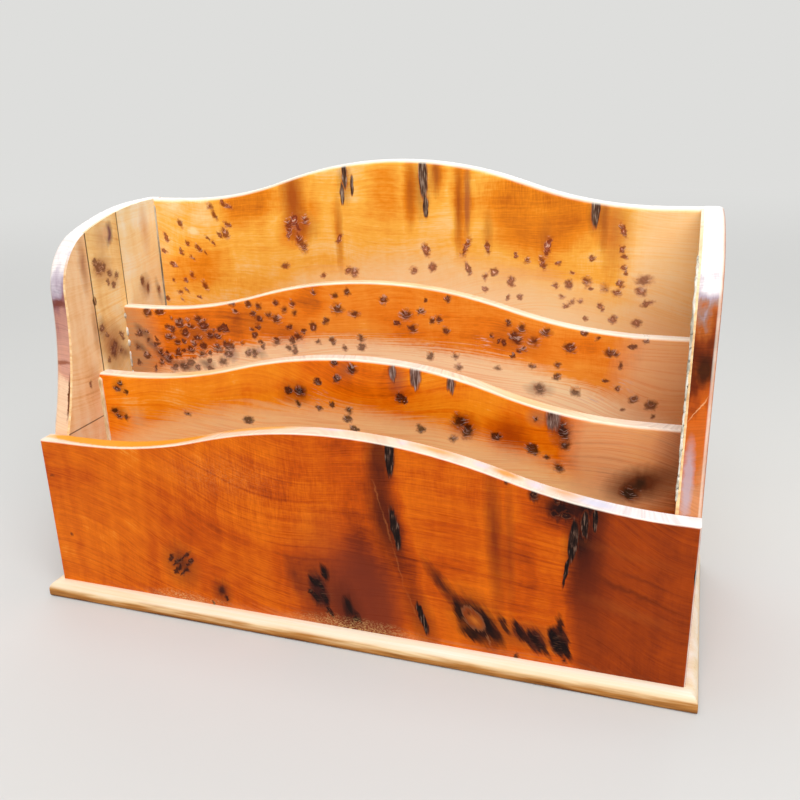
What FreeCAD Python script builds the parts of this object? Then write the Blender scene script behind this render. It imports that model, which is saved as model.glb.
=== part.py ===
import FreeCAD, Part
import math
import os
from types import SimpleNamespace

import Sketcher

# A hand-made letter rack: a base board, four humped uprights and two shaped, lined sides, glued and pinned.
# Frame: millimetres, +Z up, X along the boards, the front panel faces -Y.
# The origin is on the table, under the middle of the base board.

# Driving sizes in millimetres: name, size, meaning. Heights are measured from the top of the base board.
SIZES = [
    ("board_width", 280.0, "front panel, end to end, and outside of the two sides"),
    ("base_overhang", 5.0, "base board beyond the uprights, all round"),
    ("base_thickness", 7.5, "base board"),
    ("base_top_round", 4.0, "rounding along the base board's upper edges"),
    ("base_foot_round", 1.2, "rounding along the base board's lower edges"),
    ("front_thickness", 8.5, "front panel"),
    ("front_pocket", 26.5, "clear depth, front panel to front divider"),
    ("front_divider_thickness", 7.5, "front divider"),
    ("middle_pocket", 17.8, "clear depth, front divider to rear divider"),
    ("rear_divider_thickness", 6.0, "rear divider"),
    ("rear_pocket", 29.2, "clear depth, rear divider to back panel"),
    ("back_thickness", 8.0, "back panel"),
    ("side_thickness", 8.0, "left and right sides, without lining"),
    ("lining_thickness", 1.2, "lining slips on the inside of the sides"),
    ("front_left_height", 70.5, "front panel at its left end"),
    ("front_right_height", 67.2, "front panel at its right end, cut a little lower"),
    ("front_rise", 16.7, "front panel's crown above its left end"),
    ("front_right_flat", 2.0, "level stretch at the front panel's right end"),
    ("shoulder_flat", 24.0, "level stretch from the rack's end to where the humps begin"),
    ("front_divider_left_height", 91.5, "front divider at its left end"),
    ("front_divider_right_height", 89.2, "front divider at its right end, cut a little lower"),
    ("front_divider_rise", 16.1, "front divider's crown above its left end"),
    ("rear_divider_height", 117.9, "rear divider at its ends"),
    ("rear_divider_rise", 17.2, "rear divider's crown above its ends"),
    ("back_height", 164.5, "back panel at its ends, and top of the sides"),
    ("back_rise", 19.2, "back panel's crown above its ends"),
    ("front_edge_round", 0.9, "rounding along the front panel's top"),
    ("divider_edge_round", 1.5, "rounding along the dividers' tops"),
    ("back_edge_round", 2.2, "rounding along the back panel's top"),
    ("side_edge_round", 2.2, "rounding along the sides' outer arris"),
    ("side_setback", 12.2, "how far the sides' front edges lean back before they turn over"),
    ("side_corner_radius", 27.0, "turn at the upper front of the sides"),
    ("side_shoulder_rise", 6.7, "slow rise of the sides' tops beyond that turn"),
    ("side_top_flat", 13.5, "level stretch at the rear of the sides' tops"),
    ("pin_diameter", 1.4, "panel pin shank"),
    ("pin_length", 25.0, "panel pin, head included"),
    ("pin_head_diameter", 2.8, "panel pin head"),
    ("pin_head_thickness", 0.7, "panel pin head"),
    ("pin_head_recess", 0.3, "pin heads set in from the base's underside"),
    ("pin_clearance", 0.05, "between a pin and its hole, all round"),
    ("pin_end_inset", 40.0, "outer pins from the ends of the rack"),
    ("side_pin_inset", 20.0, "pins in a side from its front and rear edges"),
]


class Size:
    """A length held twice: as a formula of the sheet's cells and as its present number."""

    def __init__(self, formula, number):
        self.formula = formula
        self.number = number

    def __add__(self, other):
        return Size("(%s + %s)" % (self.formula, other.formula), self.number + other.number)

    def __sub__(self, other):
        return Size("(%s - %s)" % (self.formula, other.formula), self.number - other.number)

    def __mul__(self, factor):
        return Size("(%s * %s)" % (self.formula, factor), self.number * factor)

    def __neg__(self):
        return self * -1


doc = FreeCAD.newDocument("letter_rack")
sheet = doc.addObject("Spreadsheet::Sheet", "Sizes")
s = SimpleNamespace()
for row, (alias, number, meaning) in enumerate(SIZES, start=1):
    sheet.set("A%d" % row, meaning)
    sheet.set("B%d" % row, str(number))
    sheet.setAlias("B%d" % row, alias)
    setattr(s, alias, Size("Sizes." + alias, number))
doc.recompute()

# Places that follow from the sizes, measured back from the outside face of the front panel
half_width = s.board_width * 0.5
side_front = s.front_thickness
front_divider_at = side_front + s.front_pocket
rear_divider_at = front_divider_at + s.front_divider_thickness + s.middle_pocket
back_at = rear_divider_at + s.rear_divider_thickness + s.rear_pocket
body_depth = back_at + s.back_thickness
base_width = s.board_width + s.base_overhang * 2
base_depth = body_depth + s.base_overhang * 2
front_face = s.base_overhang - base_depth * 0.5
inside_sides = s.board_width - s.side_thickness * 2
inside_linings = inside_sides - s.lining_thickness * 2
side_depth = body_depth - side_front
lined_depth = back_at - side_front

# Words for the points of a sketched edge, in the order that a sketch numbers them, and for its own axes
EDGE_POINTS = ["whole edge", "start", "end", "centre"]
AXES = ["no axis", "level axis", "upright axis"]
ORIGIN = ("level axis", "start")
TINY = 1e-6


def bind(owner, prop, size):
    owner.setExpression(prop, size.formula)


def place(owner, x=None, y=None, z=None):
    """Bind the coordinates that are given, of an object's placement."""
    for axis, size in (("x", x), ("y", y), ("z", z)):
        if size is not None:
            bind(owner, "Placement.Base." + axis, size)


def new_sketch(body, role, name):
    sketch = body.newObject("Sketcher::SketchObject", name)
    plane = next(item for item in body.Origin.OriginFeatures if item.Role == role)
    sketch.AttachmentSupport = [(plane, "")]
    sketch.MapMode = "FlatFace"
    return sketch


def numbered(item):
    """The sketch's own number for a word. Axes count down from -1."""
    if item in EDGE_POINTS:
        return EDGE_POINTS.index(item)
    if item in AXES:
        return -AXES.index(item)
    return item


def rule(sketch, kind, *where):
    return sketch.addConstraint(Sketcher.Constraint(kind, *[numbered(item) for item in where]))


def dimension(sketch, kind, where, size):
    index = rule(sketch, kind, *where, size.number)
    bind(sketch, "Constraints[%d]" % index, size)


def line(x1, y1, x2, y2):
    return Part.LineSegment(FreeCAD.Vector(x1, y1, 0), FreeCAD.Vector(x2, y2, 0))


def arc(x, y, radius, start, end):
    """Arc about a centre, counter-clockwise between two angles in radians."""
    circle = Part.Circle(FreeCAD.Vector(x, y, 0), FreeCAD.Vector(0, 0, 1), radius)
    return Part.ArcOfCircle(circle, start, end)


def new_pad(body, sketch, thickness, flipped=False):
    pad = body.newObject("PartDesign::Pad", body.Name + "_pad")
    pad.Profile = sketch
    pad.Reversed = flipped
    bind(pad, "Length", thickness)
    doc.recompute()
    return pad


def round_edges(body, feature, radius, wanted):
    """Round the edges of a feature that a test picks out."""
    names = ["Edge%d" % n for n, edge in enumerate(feature.Shape.Edges, start=1) if wanted(edge)]
    fillet = body.newObject("PartDesign::Fillet", body.Name + "_round_" + str(len(body.Group)))
    fillet.Base = (feature, names)
    bind(fillet, "Radius", radius)
    doc.recompute()
    return fillet


def is_upright(edge):
    box = edge.BoundBox
    return box.XLength < TINY and box.YLength < TINY


# Base board: a plain board, well rounded along its upper edges and eased along its lower ones.
# The rounds are planed right through and meet in mitres at the corners.

base_blank = doc.addObject("PartDesign::Body", "base_blank")
base_sketch = new_sketch(base_blank, "XY_Plane", "base_outline")
bw, bd = base_width.number / 2, base_depth.number / 2
base_sketch.addGeometry([
    line(-bw, -bd, bw, -bd),
    line(bw, -bd, bw, bd),
    line(bw, bd, -bw, bd),
    line(-bw, bd, -bw, -bd),
])
for edge_number in range(4):
    rule(base_sketch, "Coincident", edge_number, "end", (edge_number + 1) % 4, "start")
    rule(base_sketch, "Vertical" if edge_number % 2 else "Horizontal", edge_number)
rule(base_sketch, "Symmetric", 0, "start", 2, "start", *ORIGIN)
dimension(base_sketch, "DistanceX", (0, "start", 0, "end"), base_width)
dimension(base_sketch, "DistanceY", (1, "start", 1, "end"), base_depth)
base_pad = new_pad(base_blank, base_sketch, s.base_thickness)
base_top = round_edges(base_blank, base_pad, s.base_top_round, lambda edge: edge.BoundBox.ZMin > TINY)
round_edges(base_blank, base_top, s.base_foot_round, lambda edge: edge.BoundBox.ZMax < TINY)


# Humped uprights: level shoulders at the ends, then a hollow arc and a crown arc of one radius on each side.
# The two crown arcs meet level on the middle line, so the two sides of a hump can differ.

def humped_board(name, width, thickness, left, right, rise, left_flat, right_flat, edge_round, ease_ends):
    body = doc.addObject("PartDesign::Body", name + "_blank")
    sketch = new_sketch(body, "XZ_Plane", name + "_outline")
    half = width.number / 2
    top = left.number + rise.number
    right_run = half - right_flat.number
    left_run = half - left_flat.number
    right_drop = top - right.number
    left_drop = rise.number
    right_radius = (right_run ** 2 + right_drop ** 2) / (4 * right_drop)
    left_radius = (left_run ** 2 + left_drop ** 2) / (4 * left_drop)
    right_turn = math.asin(right_run / 2 / right_radius)
    left_turn = math.asin(left_run / 2 / left_radius)
    up, down = math.pi / 2, 3 * math.pi / 2
    bottom, right_end, right_level, right_hollow, right_crown = range(5)
    left_crown, left_hollow, left_level, left_end = range(5, 9)
    sketch.addGeometry([
        line(-half, 0, half, 0),
        line(half, 0, half, right.number),
        line(half, right.number, right_run, right.number),
        arc(right_run, right.number + right_radius, right_radius, down - right_turn, down),
        arc(0, top - right_radius, right_radius, up - right_turn, up),
        arc(0, top - left_radius, left_radius, up, up + left_turn),
        arc(-left_run, left.number + left_radius, left_radius, down, down + left_turn),
        line(-left_run, left.number, -half, left.number),
        line(-half, left.number, -half, 0),
    ])
    rule(sketch, "Coincident", bottom, "end", right_end, "start")
    rule(sketch, "Coincident", right_end, "end", right_level, "start")
    rule(sketch, "Tangent", right_level, "end", right_hollow, "end")
    rule(sketch, "Tangent", right_hollow, "start", right_crown, "start")
    rule(sketch, "Coincident", right_crown, "end", left_crown, "start")
    rule(sketch, "Tangent", left_crown, "end", left_hollow, "end")
    rule(sketch, "Tangent", left_hollow, "start", left_level, "start")
    rule(sketch, "Coincident", left_level, "end", left_end, "start")
    rule(sketch, "Coincident", left_end, "end", bottom, "start")
    rule(sketch, "Horizontal", bottom)
    rule(sketch, "Vertical", right_end)
    rule(sketch, "Horizontal", right_level)
    rule(sketch, "Horizontal", left_level)
    rule(sketch, "Vertical", left_end)
    rule(sketch, "Symmetric", bottom, "start", bottom, "end", *ORIGIN)
    rule(sketch, "PointOnObject", right_crown, "end", "upright axis")
    rule(sketch, "PointOnObject", right_crown, "centre", "upright axis")
    rule(sketch, "PointOnObject", left_crown, "centre", "upright axis")
    rule(sketch, "Equal", right_hollow, right_crown)
    rule(sketch, "Equal", left_hollow, left_crown)
    dimension(sketch, "DistanceX", (bottom, "start", bottom, "end"), width)
    dimension(sketch, "DistanceY", (right_end, "start", right_end, "end"), right)
    dimension(sketch, "DistanceY", (left_end, "end", left_end, "start"), left)
    dimension(sketch, "DistanceY", (*ORIGIN, right_crown, "end"), left + rise)
    dimension(sketch, "DistanceX", (right_level, "end", right_level, "start"), right_flat)
    dimension(sketch, "DistanceX", (left_level, "end", left_level, "start"), left_flat)
    pad = new_pad(body, sketch, thickness, flipped=True)

    def along_top(edge):
        box = edge.BoundBox
        return box.YLength < TINY and box.ZMin > TINY

    def along_top_and_ends(edge):
        return along_top(edge) or is_upright(edge)

    round_edges(body, pad, edge_round, along_top_and_ends if ease_ends else along_top)
    return body


divider_flat = s.shoulder_flat - s.side_thickness - s.lining_thickness
back_flat = s.shoulder_flat - s.side_thickness
front_blank = humped_board("front_panel", s.board_width, s.front_thickness, s.front_left_height,
                           s.front_right_height, s.front_rise, s.shoulder_flat, s.front_right_flat,
                           s.front_edge_round, ease_ends=True)
front_divider_blank = humped_board("front_divider", inside_linings, s.front_divider_thickness,
                                   s.front_divider_left_height, s.front_divider_right_height,
                                   s.front_divider_rise, divider_flat, divider_flat,
                                   s.divider_edge_round, ease_ends=False)
rear_divider_blank = humped_board("rear_divider", inside_linings, s.rear_divider_thickness,
                                  s.rear_divider_height, s.rear_divider_height, s.rear_divider_rise,
                                  divider_flat, divider_flat, s.divider_edge_round, ease_ends=False)
back_blank = humped_board("back_panel", inside_sides, s.back_thickness, s.back_height, s.back_height,
                          s.back_rise, back_flat, back_flat, s.back_edge_round, ease_ends=False)
place(front_blank, y=front_face, z=s.base_thickness)
place(front_divider_blank, y=front_face + front_divider_at, z=s.base_thickness)
place(rear_divider_blank, y=front_face + rear_divider_at, z=s.base_thickness)
place(back_blank, y=front_face + back_at, z=s.base_thickness)


# Sides: behind the front panel the edge stands square up to the panel's top. Above it the edge leans back
# in a hollow arc until it is plumb, turns over in a tight arc and runs out in a long one to the level rear.

def side_outline(body, name, depth, toe, top_flat):
    sketch = new_sketch(body, "YZ_Plane", name)
    turn_height = s.back_height - s.side_corner_radius - s.side_shoulder_rise
    top, turn = s.back_height.number, turn_height.number
    setback, corner = s.side_setback.number, s.side_corner_radius.number
    rise = s.side_shoulder_rise.number
    run = depth.number - top_flat.number - setback - corner
    shoulder = (run ** 2 + rise ** 2 + 2 * rise * corner) / (2 * rise)
    shoulder_sweep = math.asin(run / (shoulder - corner))
    lean = ((turn - toe.number) ** 2 + setback ** 2) / (2 * setback)
    lean_sweep = math.asin((turn - toe.number) / lean)
    up = math.pi / 2
    bottom, rear, level, long_arc, tight_arc, lean_arc, square_edge = range(7)
    sketch.addGeometry([
        line(0, 0, depth.number, 0),
        line(depth.number, 0, depth.number, top),
        line(depth.number, top, depth.number - top_flat.number, top),
        arc(depth.number - top_flat.number, top - shoulder, shoulder, up, up + shoulder_sweep),
        arc(setback + corner, turn, corner, up + shoulder_sweep, math.pi),
        arc(setback - lean, turn, lean, -lean_sweep, 0),
        line(0, toe.number, 0, 0),
    ])
    rule(sketch, "Coincident", bottom, "end", rear, "start")
    rule(sketch, "Coincident", rear, "end", level, "start")
    rule(sketch, "Tangent", level, "end", long_arc, "start")
    rule(sketch, "Tangent", long_arc, "end", tight_arc, "start")
    rule(sketch, "Tangent", tight_arc, "end", lean_arc, "end")
    rule(sketch, "Coincident", lean_arc, "start", square_edge, "start")
    rule(sketch, "Coincident", square_edge, "end", bottom, "start")
    rule(sketch, "Coincident", bottom, "start", *ORIGIN)
    rule(sketch, "Horizontal", bottom)
    rule(sketch, "Vertical", rear)
    rule(sketch, "Horizontal", level)
    rule(sketch, "Vertical", square_edge)
    rule(sketch, "Horizontal", tight_arc, "centre", tight_arc, "end")
    dimension(sketch, "DistanceX", (bottom, "start", bottom, "end"), depth)
    dimension(sketch, "DistanceY", (rear, "start", rear, "end"), s.back_height)
    dimension(sketch, "DistanceX", (level, "end", level, "start"), top_flat)
    dimension(sketch, "Radius", (tight_arc,), s.side_corner_radius)
    dimension(sketch, "DistanceX", (*ORIGIN, tight_arc, "end"), s.side_setback)
    dimension(sketch, "DistanceY", (*ORIGIN, tight_arc, "end"), turn_height)
    dimension(sketch, "DistanceY", (square_edge, "end", square_edge, "start"), toe)
    return sketch


def shaped_side(name, toe, inner_x, outward):
    """Side board whose pad grows from its inner face outwards, with the outer arris rounded."""
    body = doc.addObject("PartDesign::Body", name + "_blank")
    sketch = side_outline(body, name + "_outline", side_depth, toe, s.side_top_flat)
    pad = new_pad(body, sketch, s.side_thickness, flipped=outward < 0)
    outer = s.side_thickness.number * outward

    def outer_curve(edge):
        box = edge.BoundBox
        return abs(box.XMin - outer) < TINY and box.XLength < TINY and box.YLength > TINY and box.ZMin > TINY

    round_edges(body, pad, s.side_edge_round, outer_curve)
    place(body, x=inner_x, y=front_face + side_front, z=s.base_thickness)
    return body


left_blank = shaped_side("left_side", s.front_left_height, -(inside_sides * 0.5), -1)
right_blank = shaped_side("right_side", s.front_right_height, inside_sides * 0.5, 1)


# Linings: thin slips on the inside of each side, sawn from a blank of the side's own outline.
# The upright joints between slips stand behind the middle of each divider's end, which hides them.
# The left front slip is in two pieces, with a level joint at the height of the front panel's end.

def lining_blank(name, toe, inner_x, outward):
    body = doc.addObject("PartDesign::Body", name)
    flat = s.side_top_flat - s.back_thickness
    sketch = side_outline(body, name + "_outline", lined_depth, toe, flat)
    new_pad(body, sketch, s.lining_thickness, flipped=outward < 0)
    place(body, x=inner_x, y=front_face + side_front, z=s.base_thickness)
    return body


def lining_slip(name, blank, left_x, start, end, low, high):
    """The stretch of a lining blank between two depths and two heights."""
    window = doc.addObject("Part::Box", name + "_window")
    bind(window, "Length", s.lining_thickness)
    bind(window, "Width", end - start)
    bind(window, "Height", high - low)
    place(window, x=left_x, y=front_face + side_front + start, z=s.base_thickness + low)
    slip = doc.addObject("Part::Common", name)
    slip.Base = blank
    slip.Tool = window
    return slip


floor_level = Size("0", 0.0)
front_joint = s.front_pocket + s.front_divider_thickness * 0.5
rear_joint = rear_divider_at - side_front + s.rear_divider_thickness * 0.5
lining_inner_x = inside_linings * 0.5
left_lining = lining_blank("left_lining_blank", s.front_left_height, -lining_inner_x, -1)
right_lining = lining_blank("right_lining_blank", s.front_right_height, lining_inner_x, 1)
left_x = -(inside_sides * 0.5)
linings = [
    lining_slip("left_front_lining_lower", left_lining, left_x, floor_level, front_joint,
                floor_level, s.front_left_height),
    lining_slip("left_front_lining_upper", left_lining, left_x, floor_level, front_joint,
                s.front_left_height, s.back_height),
    lining_slip("left_middle_lining", left_lining, left_x, front_joint, rear_joint,
                floor_level, s.back_height),
    lining_slip("left_rear_lining", left_lining, left_x, rear_joint, lined_depth,
                floor_level, s.back_height),
    lining_slip("right_front_lining", right_lining, lining_inner_x, floor_level, front_joint,
                floor_level, s.back_height),
    lining_slip("right_middle_lining", right_lining, lining_inner_x, front_joint, rear_joint,
                floor_level, s.back_height),
    lining_slip("right_rear_lining", right_lining, lining_inner_x, rear_joint, lined_depth,
                floor_level, s.back_height),
]


# Panel pins: driven up through the base into the middle of each upright and of each side

outer_pin_x = half_width - s.pin_end_inset
side_pin_x = half_width - s.side_thickness * 0.5
board_pin_depths = [
    s.front_thickness * 0.5,
    front_divider_at + s.front_divider_thickness * 0.5,
    rear_divider_at + s.rear_divider_thickness * 0.5,
    back_at + s.back_thickness * 0.5,
]
pin_places = [(x, depth) for depth in board_pin_depths for x in (-outer_pin_x, floor_level, outer_pin_x)]
side_pin_depths = [side_front + s.side_pin_inset, body_depth - s.side_pin_inset]
pin_places += [(x, depth) for depth in side_pin_depths for x in (-side_pin_x, side_pin_x)]


def rod(name, diameter, length, x, depth, z):
    cylinder = doc.addObject("Part::Cylinder", name)
    bind(cylinder, "Radius", diameter * 0.5)
    bind(cylinder, "Height", length)
    place(cylinder, x=x, y=front_face + depth, z=z)
    return cylinder


def joined(name, first, second):
    both = doc.addObject("Part::Fuse", name)
    both.Base = first
    both.Tool = second
    return both


pins = []
holes = []
hole_diameter = s.pin_diameter + s.pin_clearance * 2
recess_diameter = s.pin_head_diameter + s.pin_clearance * 2
recess_depth = s.pin_head_recess + s.pin_head_thickness
for number, (x, depth) in enumerate(pin_places, start=1):
    head = rod("pin_head_%d" % number, s.pin_head_diameter, s.pin_head_thickness, x, depth,
               s.pin_head_recess)
    shank = rod("pin_shank_%d" % number, s.pin_diameter, s.pin_length, x, depth, s.pin_head_recess)
    pins.append(joined("pin_%d" % number, head, shank))
    recess = rod("pin_recess_%d" % number, recess_diameter, recess_depth, x, depth, floor_level)
    bore = rod("pin_bore_%d" % number, hole_diameter, s.pin_head_recess + s.pin_length, x, depth,
               floor_level)
    holes.append(joined("pin_hole_%d" % number, recess, bore))
panel_pins = doc.addObject("Part::Compound", "panel_pins")
panel_pins.Links = pins
pin_holes = doc.addObject("Part::Compound", "pin_holes")
pin_holes.Links = holes


def pinned(name, blank):
    """A board with the pins' holes taken out of it."""
    board = doc.addObject("Part::Cut", name)
    board.Base = blank
    board.Tool = pin_holes
    return board


boards = [
    pinned("base_board", base_blank),
    pinned("front_panel", front_blank),
    pinned("front_divider", front_divider_blank),
    pinned("rear_divider", rear_divider_blank),
    pinned("back_panel", back_blank),
    pinned("left_side", left_blank),
    pinned("right_side", right_blank),
]
doc.recompute()

# Every feature has to be sound before anything is written
for item in doc.Objects:
    if "Invalid" in item.State or "Error" in item.State:
        raise RuntimeError("%s failed: %s" % (item.Label, item.State))
nodes = boards + linings + [panel_pins]
for node in nodes:
    solids = len(node.Shape.Solids)
    expected = len(pins) if node is panel_pins else 1
    if node.Shape.isNull() or not node.Shape.isValid() or solids != expected:
        raise RuntimeError("%s is not sound: %d solids" % (node.Label, solids))

os.makedirs("parts", exist_ok=True)
for node in nodes:
    node.Shape.exportStep(os.path.join("parts", node.Label + ".step"))
    box = node.Shape.optimalBoundingBox()
    extent = (box.XLength, box.YLength, box.ZLength)
    print("%-26s %6.1f x %6.1f x %6.1f" % (node.Label, *extent))
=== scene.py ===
import math
import random

import bmesh
import bpy
from mathutils import Matrix, Vector, noise


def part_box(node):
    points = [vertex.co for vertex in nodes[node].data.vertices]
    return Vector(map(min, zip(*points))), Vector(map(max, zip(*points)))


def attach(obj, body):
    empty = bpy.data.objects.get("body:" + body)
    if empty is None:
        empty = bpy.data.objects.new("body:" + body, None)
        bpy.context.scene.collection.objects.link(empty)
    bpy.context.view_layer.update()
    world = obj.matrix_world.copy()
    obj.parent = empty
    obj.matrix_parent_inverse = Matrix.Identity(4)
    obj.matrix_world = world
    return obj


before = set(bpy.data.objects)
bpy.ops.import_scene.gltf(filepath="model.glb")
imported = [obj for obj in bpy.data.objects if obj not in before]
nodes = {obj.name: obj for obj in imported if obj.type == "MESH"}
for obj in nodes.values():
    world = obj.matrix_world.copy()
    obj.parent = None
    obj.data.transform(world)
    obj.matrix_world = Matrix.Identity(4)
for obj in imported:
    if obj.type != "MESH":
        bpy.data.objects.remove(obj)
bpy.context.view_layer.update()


# The base board: a pale softwood board, planed flat, rounded over by hand along its edges and varnished.
# Everything else stands on it and is pinned to it from below.
MILLIMETRE = 0.001

# The softwood's figure in millimetres, along the board, across it and through it.
PINE_LAYERS = (170, 9, 2.6)
PINE_FIBRES = (28, 0.7, 0.6)
RIM_PATCHES = (26, 26, 1.8)


def linear(code):
    """Linear colour of an sRGB hex code."""
    channels = [int(code[i:i + 2], 16) / 255 for i in (1, 3, 5)]
    curve = [c / 12.92 if c <= 0.04045 else ((c + 0.055) / 1.055) ** 2.4 for c in channels]
    return (*curve, 1.0)


def add(tree, kind, inputs=None, stops=(), span=(), onto=(), **settings):
    """Adds a node. inputs fills its sockets with values, outputs, or nodes for their first output.
    stops fills a colour ramp, and a map takes a span of values onto another."""
    node = tree.nodes.new("ShaderNode" + kind)
    for name, value in settings.items():
        setattr(node, name, value)
    bounds = {**dict(zip(("From Min", "From Max"), span)), **dict(zip(("To Min", "To Max"), onto))}
    for socket, value in {**(inputs or {}), **bounds}.items():
        if isinstance(value, bpy.types.Node):
            value = value.outputs[0]
        if isinstance(value, bpy.types.NodeSocket):
            tree.links.new(value, node.inputs[socket])
        else:
            node.inputs[socket].default_value = value
    for index, (position, code) in enumerate(stops):
        ramp = node.color_ramp.elements
        stop = ramp[index] if index < 2 else ramp.new(position)
        stop.position = position
        stop.color = linear(code)
    return node


def new_surface(name):
    """A material with an empty tree, the place of a point in millimetres and its normal on the piece."""
    material = bpy.data.materials.new(name)
    material.use_nodes = True
    tree = material.node_tree
    tree.nodes.clear()
    spot = add(tree, "TexCoord")
    place = add(tree, "VectorMath", {0: spot.outputs["Object"], "Scale": 1 / MILLIMETRE},
                operation="SCALE")
    return material, tree, place.outputs["Vector"], spot.outputs["Normal"]


def even_stops(tones):
    """Colours spread evenly over a ramp, dark end first."""
    return [(index / (len(tones) - 1), code) for index, code in enumerate(tones)]


def streaks(tree, place, lengths, detail=2.0, lean=0.0):
    """Noise drawn out to lengths in millimetres along the three axes, which may lean on the face."""
    drawn = add(tree, "Mapping",
                {"Vector": place, "Rotation": (0, 0, math.radians(lean)), "Scale": lengths},
                vector_type="TEXTURE")
    return add(tree, "TexNoise", {"Vector": drawn, "Scale": 1.0, "Detail": detail})


def varnish(tree, colour, height, depth, roughness, coat):
    """Closes a wood material: a brushed coat of varnish over the colour, with the grain felt through it."""
    relief = add(tree, "Bump", {"Height": height, "Strength": 0.6, "Distance": depth * MILLIMETRE})
    wood = add(tree, "BsdfPrincipled",
               {"Base Color": colour, "Roughness": roughness, "IOR": 1.5, "Specular IOR Level": 0.06,
                "Coat Weight": coat, "Coat Roughness": 0.12, "Coat IOR": 1.5, "Normal": relief})
    add(tree, "OutputMaterial", {"Surface": wood})


def dress(node, material):
    """Gives a solid of the frame its finish."""
    mesh = nodes[node].data
    mesh.materials.clear()
    mesh.materials.append(material)


def planed_softwood(name, tones, shaded_rim_tones, board_height):
    """Varnished pine: cream growth layers with fine fibres on top; round the rim honey brown, with painted
    shade low down and a painted highlight along its top.
    """
    material, tree, place, normal = new_surface(name)
    layers = streaks(tree, place, PINE_LAYERS, detail=3.0)
    fibres = streaks(tree, place, PINE_FIBRES)
    tone = add(tree, "Math", {0: fibres, 1: 0.35, 2: -0.175}, operation="MULTIPLY_ADD")
    tone = add(tree, "Math", {0: layers, 1: tone}, operation="ADD")
    wide = add(tree, "MapRange", {"Value": tone}, span=(0.25, 0.75))
    top = add(tree, "ValToRGB", {"Fac": wide}, stops=even_stops(tones))

    # The rim is painted darker low down as shade and paler along its top as a highlight; the line between
    # them rises and falls in patches.
    unevenness = streaks(tree, place, RIM_PATCHES, detail=4.0)
    height = add(tree, "SeparateXYZ", {0: place}).outputs["Z"]
    rim_light_level = add(tree, "Math", {0: unevenness, 1: 9.0, 2: -4.5}, operation="MULTIPLY_ADD")
    rim_light_level = add(tree, "Math", {0: height, 1: rim_light_level}, operation="ADD")
    rim_light_level = add(tree, "MapRange", {"Value": rim_light_level}, span=(0, board_height))
    rim = add(tree, "ValToRGB", {"Fac": rim_light_level}, stops=even_stops(shaded_rim_tones))
    turned = add(tree, "SeparateXYZ", {0: normal})
    upright = add(tree, "MapRange", {"Value": turned.outputs["Z"]}, span=(0.75, 0.15),
                  interpolation_type="SMOOTHSTEP")
    colour = add(tree, "Mix", {0: upright, 6: top, 7: rim}, data_type="RGBA")
    gloss = add(tree, "MapRange", {"Value": fibres}, span=(0.3, 0.7), onto=(0.3, 0.42))
    varnish(tree, colour.outputs[2], tone, 0.15, gloss, 0.15)
    return material


base_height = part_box("base_board")[1][2] / MILLIMETRE
# The rim tones run from painted shade at the bottom to a painted highlight at the top.
dress("base_board",
      planed_softwood("varnished_pale_softwood", ["#e6c99c", "#eed9b8", "#f2e3ce", "#f5ecde"],
                      ["#764216", "#bc8040", "#efcb98", "#f8e6c8"], base_height))


# The back panel: the tallest board, sawn from solid root burl with a humped top edge and varnished.
# Bark pockets run down from its top edge, and the eyes are buds that never grew out.

# Ellipses reach through the board. Halos are in eye sizes, the lean is in degrees, the rest in millimetres.
THROUGH = 1e4
HALO = 2.0
UNEVEN = (0.65, 1.2)
BUD_SPACINGS = (8.5, 4.6)
EYE_RISE = 3.0
KNOT_LEAN = 36
HAZE_LIFT = 3.5
EDGE_STRAY = 40.0
DUST_TONE = "#e2b878"
ARRIS_HIGHLIGHT_TONE = "#fff4e2"

# The wood's figure in millimetres, along the board, up it and through it.
FINE_GRAIN = (30, 0.55, 20)
PORES = (3.2, 0.8, 6)
GROWTH_LAYERS = (90, 4.5, 40)
GROWTH_LINES = (120, 1.7, 60)
SILK = (0.6, 5, 20)
FLAMES = (6, 60, 30)
MOTTLE = (17, 11, 20)
BROAD_CLOUDS = (52, 32, 80)
FLECKS = (0.9, 1.0, 3)
TORN_STRANDS = (4, 0.55, 20)
BARK_FIBRES = (0.6, 5, 4)
DUST_CRUMBS = (0.8, 0.45, 2)
EDGE_PATCHES = (15, 12, 5)
END_LAYERS = (9, 1.8, 14)


def ellipses(tree, place, shapes, join="MAXIMUM"):
    """Mounds on ellipses on a board's face: weight at the top, 0 outside, soft is the sloping share.
    Weight and soft are 1 where a shape leaves them out."""
    height = 0.0
    for shape in shapes:
        x, z, half_width, half_height, turn, weight, soft = (*shape, 1, 1)[:7]
        local = add(tree, "Mapping",
                    {"Vector": place, "Location": (x, z, 0), "Rotation": (0, 0, math.radians(turn)),
                     "Scale": (half_width, half_height, THROUGH)}, vector_type="TEXTURE")
        mound = add(tree, "TexGradient", {"Vector": local}, gradient_type="SPHERICAL")
        mound = mound.outputs["Fac"]
        if (weight, soft) != (1, 1):
            mound = add(tree, "MapRange", {"Value": mound}, span=(0, soft), onto=(0, weight))
        height = add(tree, "Math", {0: mound, 1: height}, operation=join)
    return height


def paint(tree, place, colour, patches, unevenness=1.0):
    """Lays patches of the given tones, each on its own ellipse, over a colour, each cover scaled by the
    unevenness.
    """
    for code, *shape in patches:
        cover = add(tree, "Math", {0: ellipses(tree, place, [shape]), 1: unevenness}, operation="MULTIPLY")
        colour = add(tree, "Mix", {0: cover, 6: colour, 7: linear(code)}, data_type="RGBA").outputs[2]
    return colour


def grown_eyes(eyes, seed):
    """The listed eyes as ellipses with halos, uneven in size, lean and depth, as grown ones are."""
    draw = random.Random(seed)
    shapes = []
    for (half_width, half_height, lean), spots in eyes.items():
        for x, z in spots:
            shapes.append((x, z, half_width * HALO * draw.uniform(*UNEVEN),
                           half_height * HALO * draw.uniform(*UNEVEN), lean + draw.uniform(-25, 25),
                           draw.uniform(0.6, 1.0), 1))
    return shapes


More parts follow.
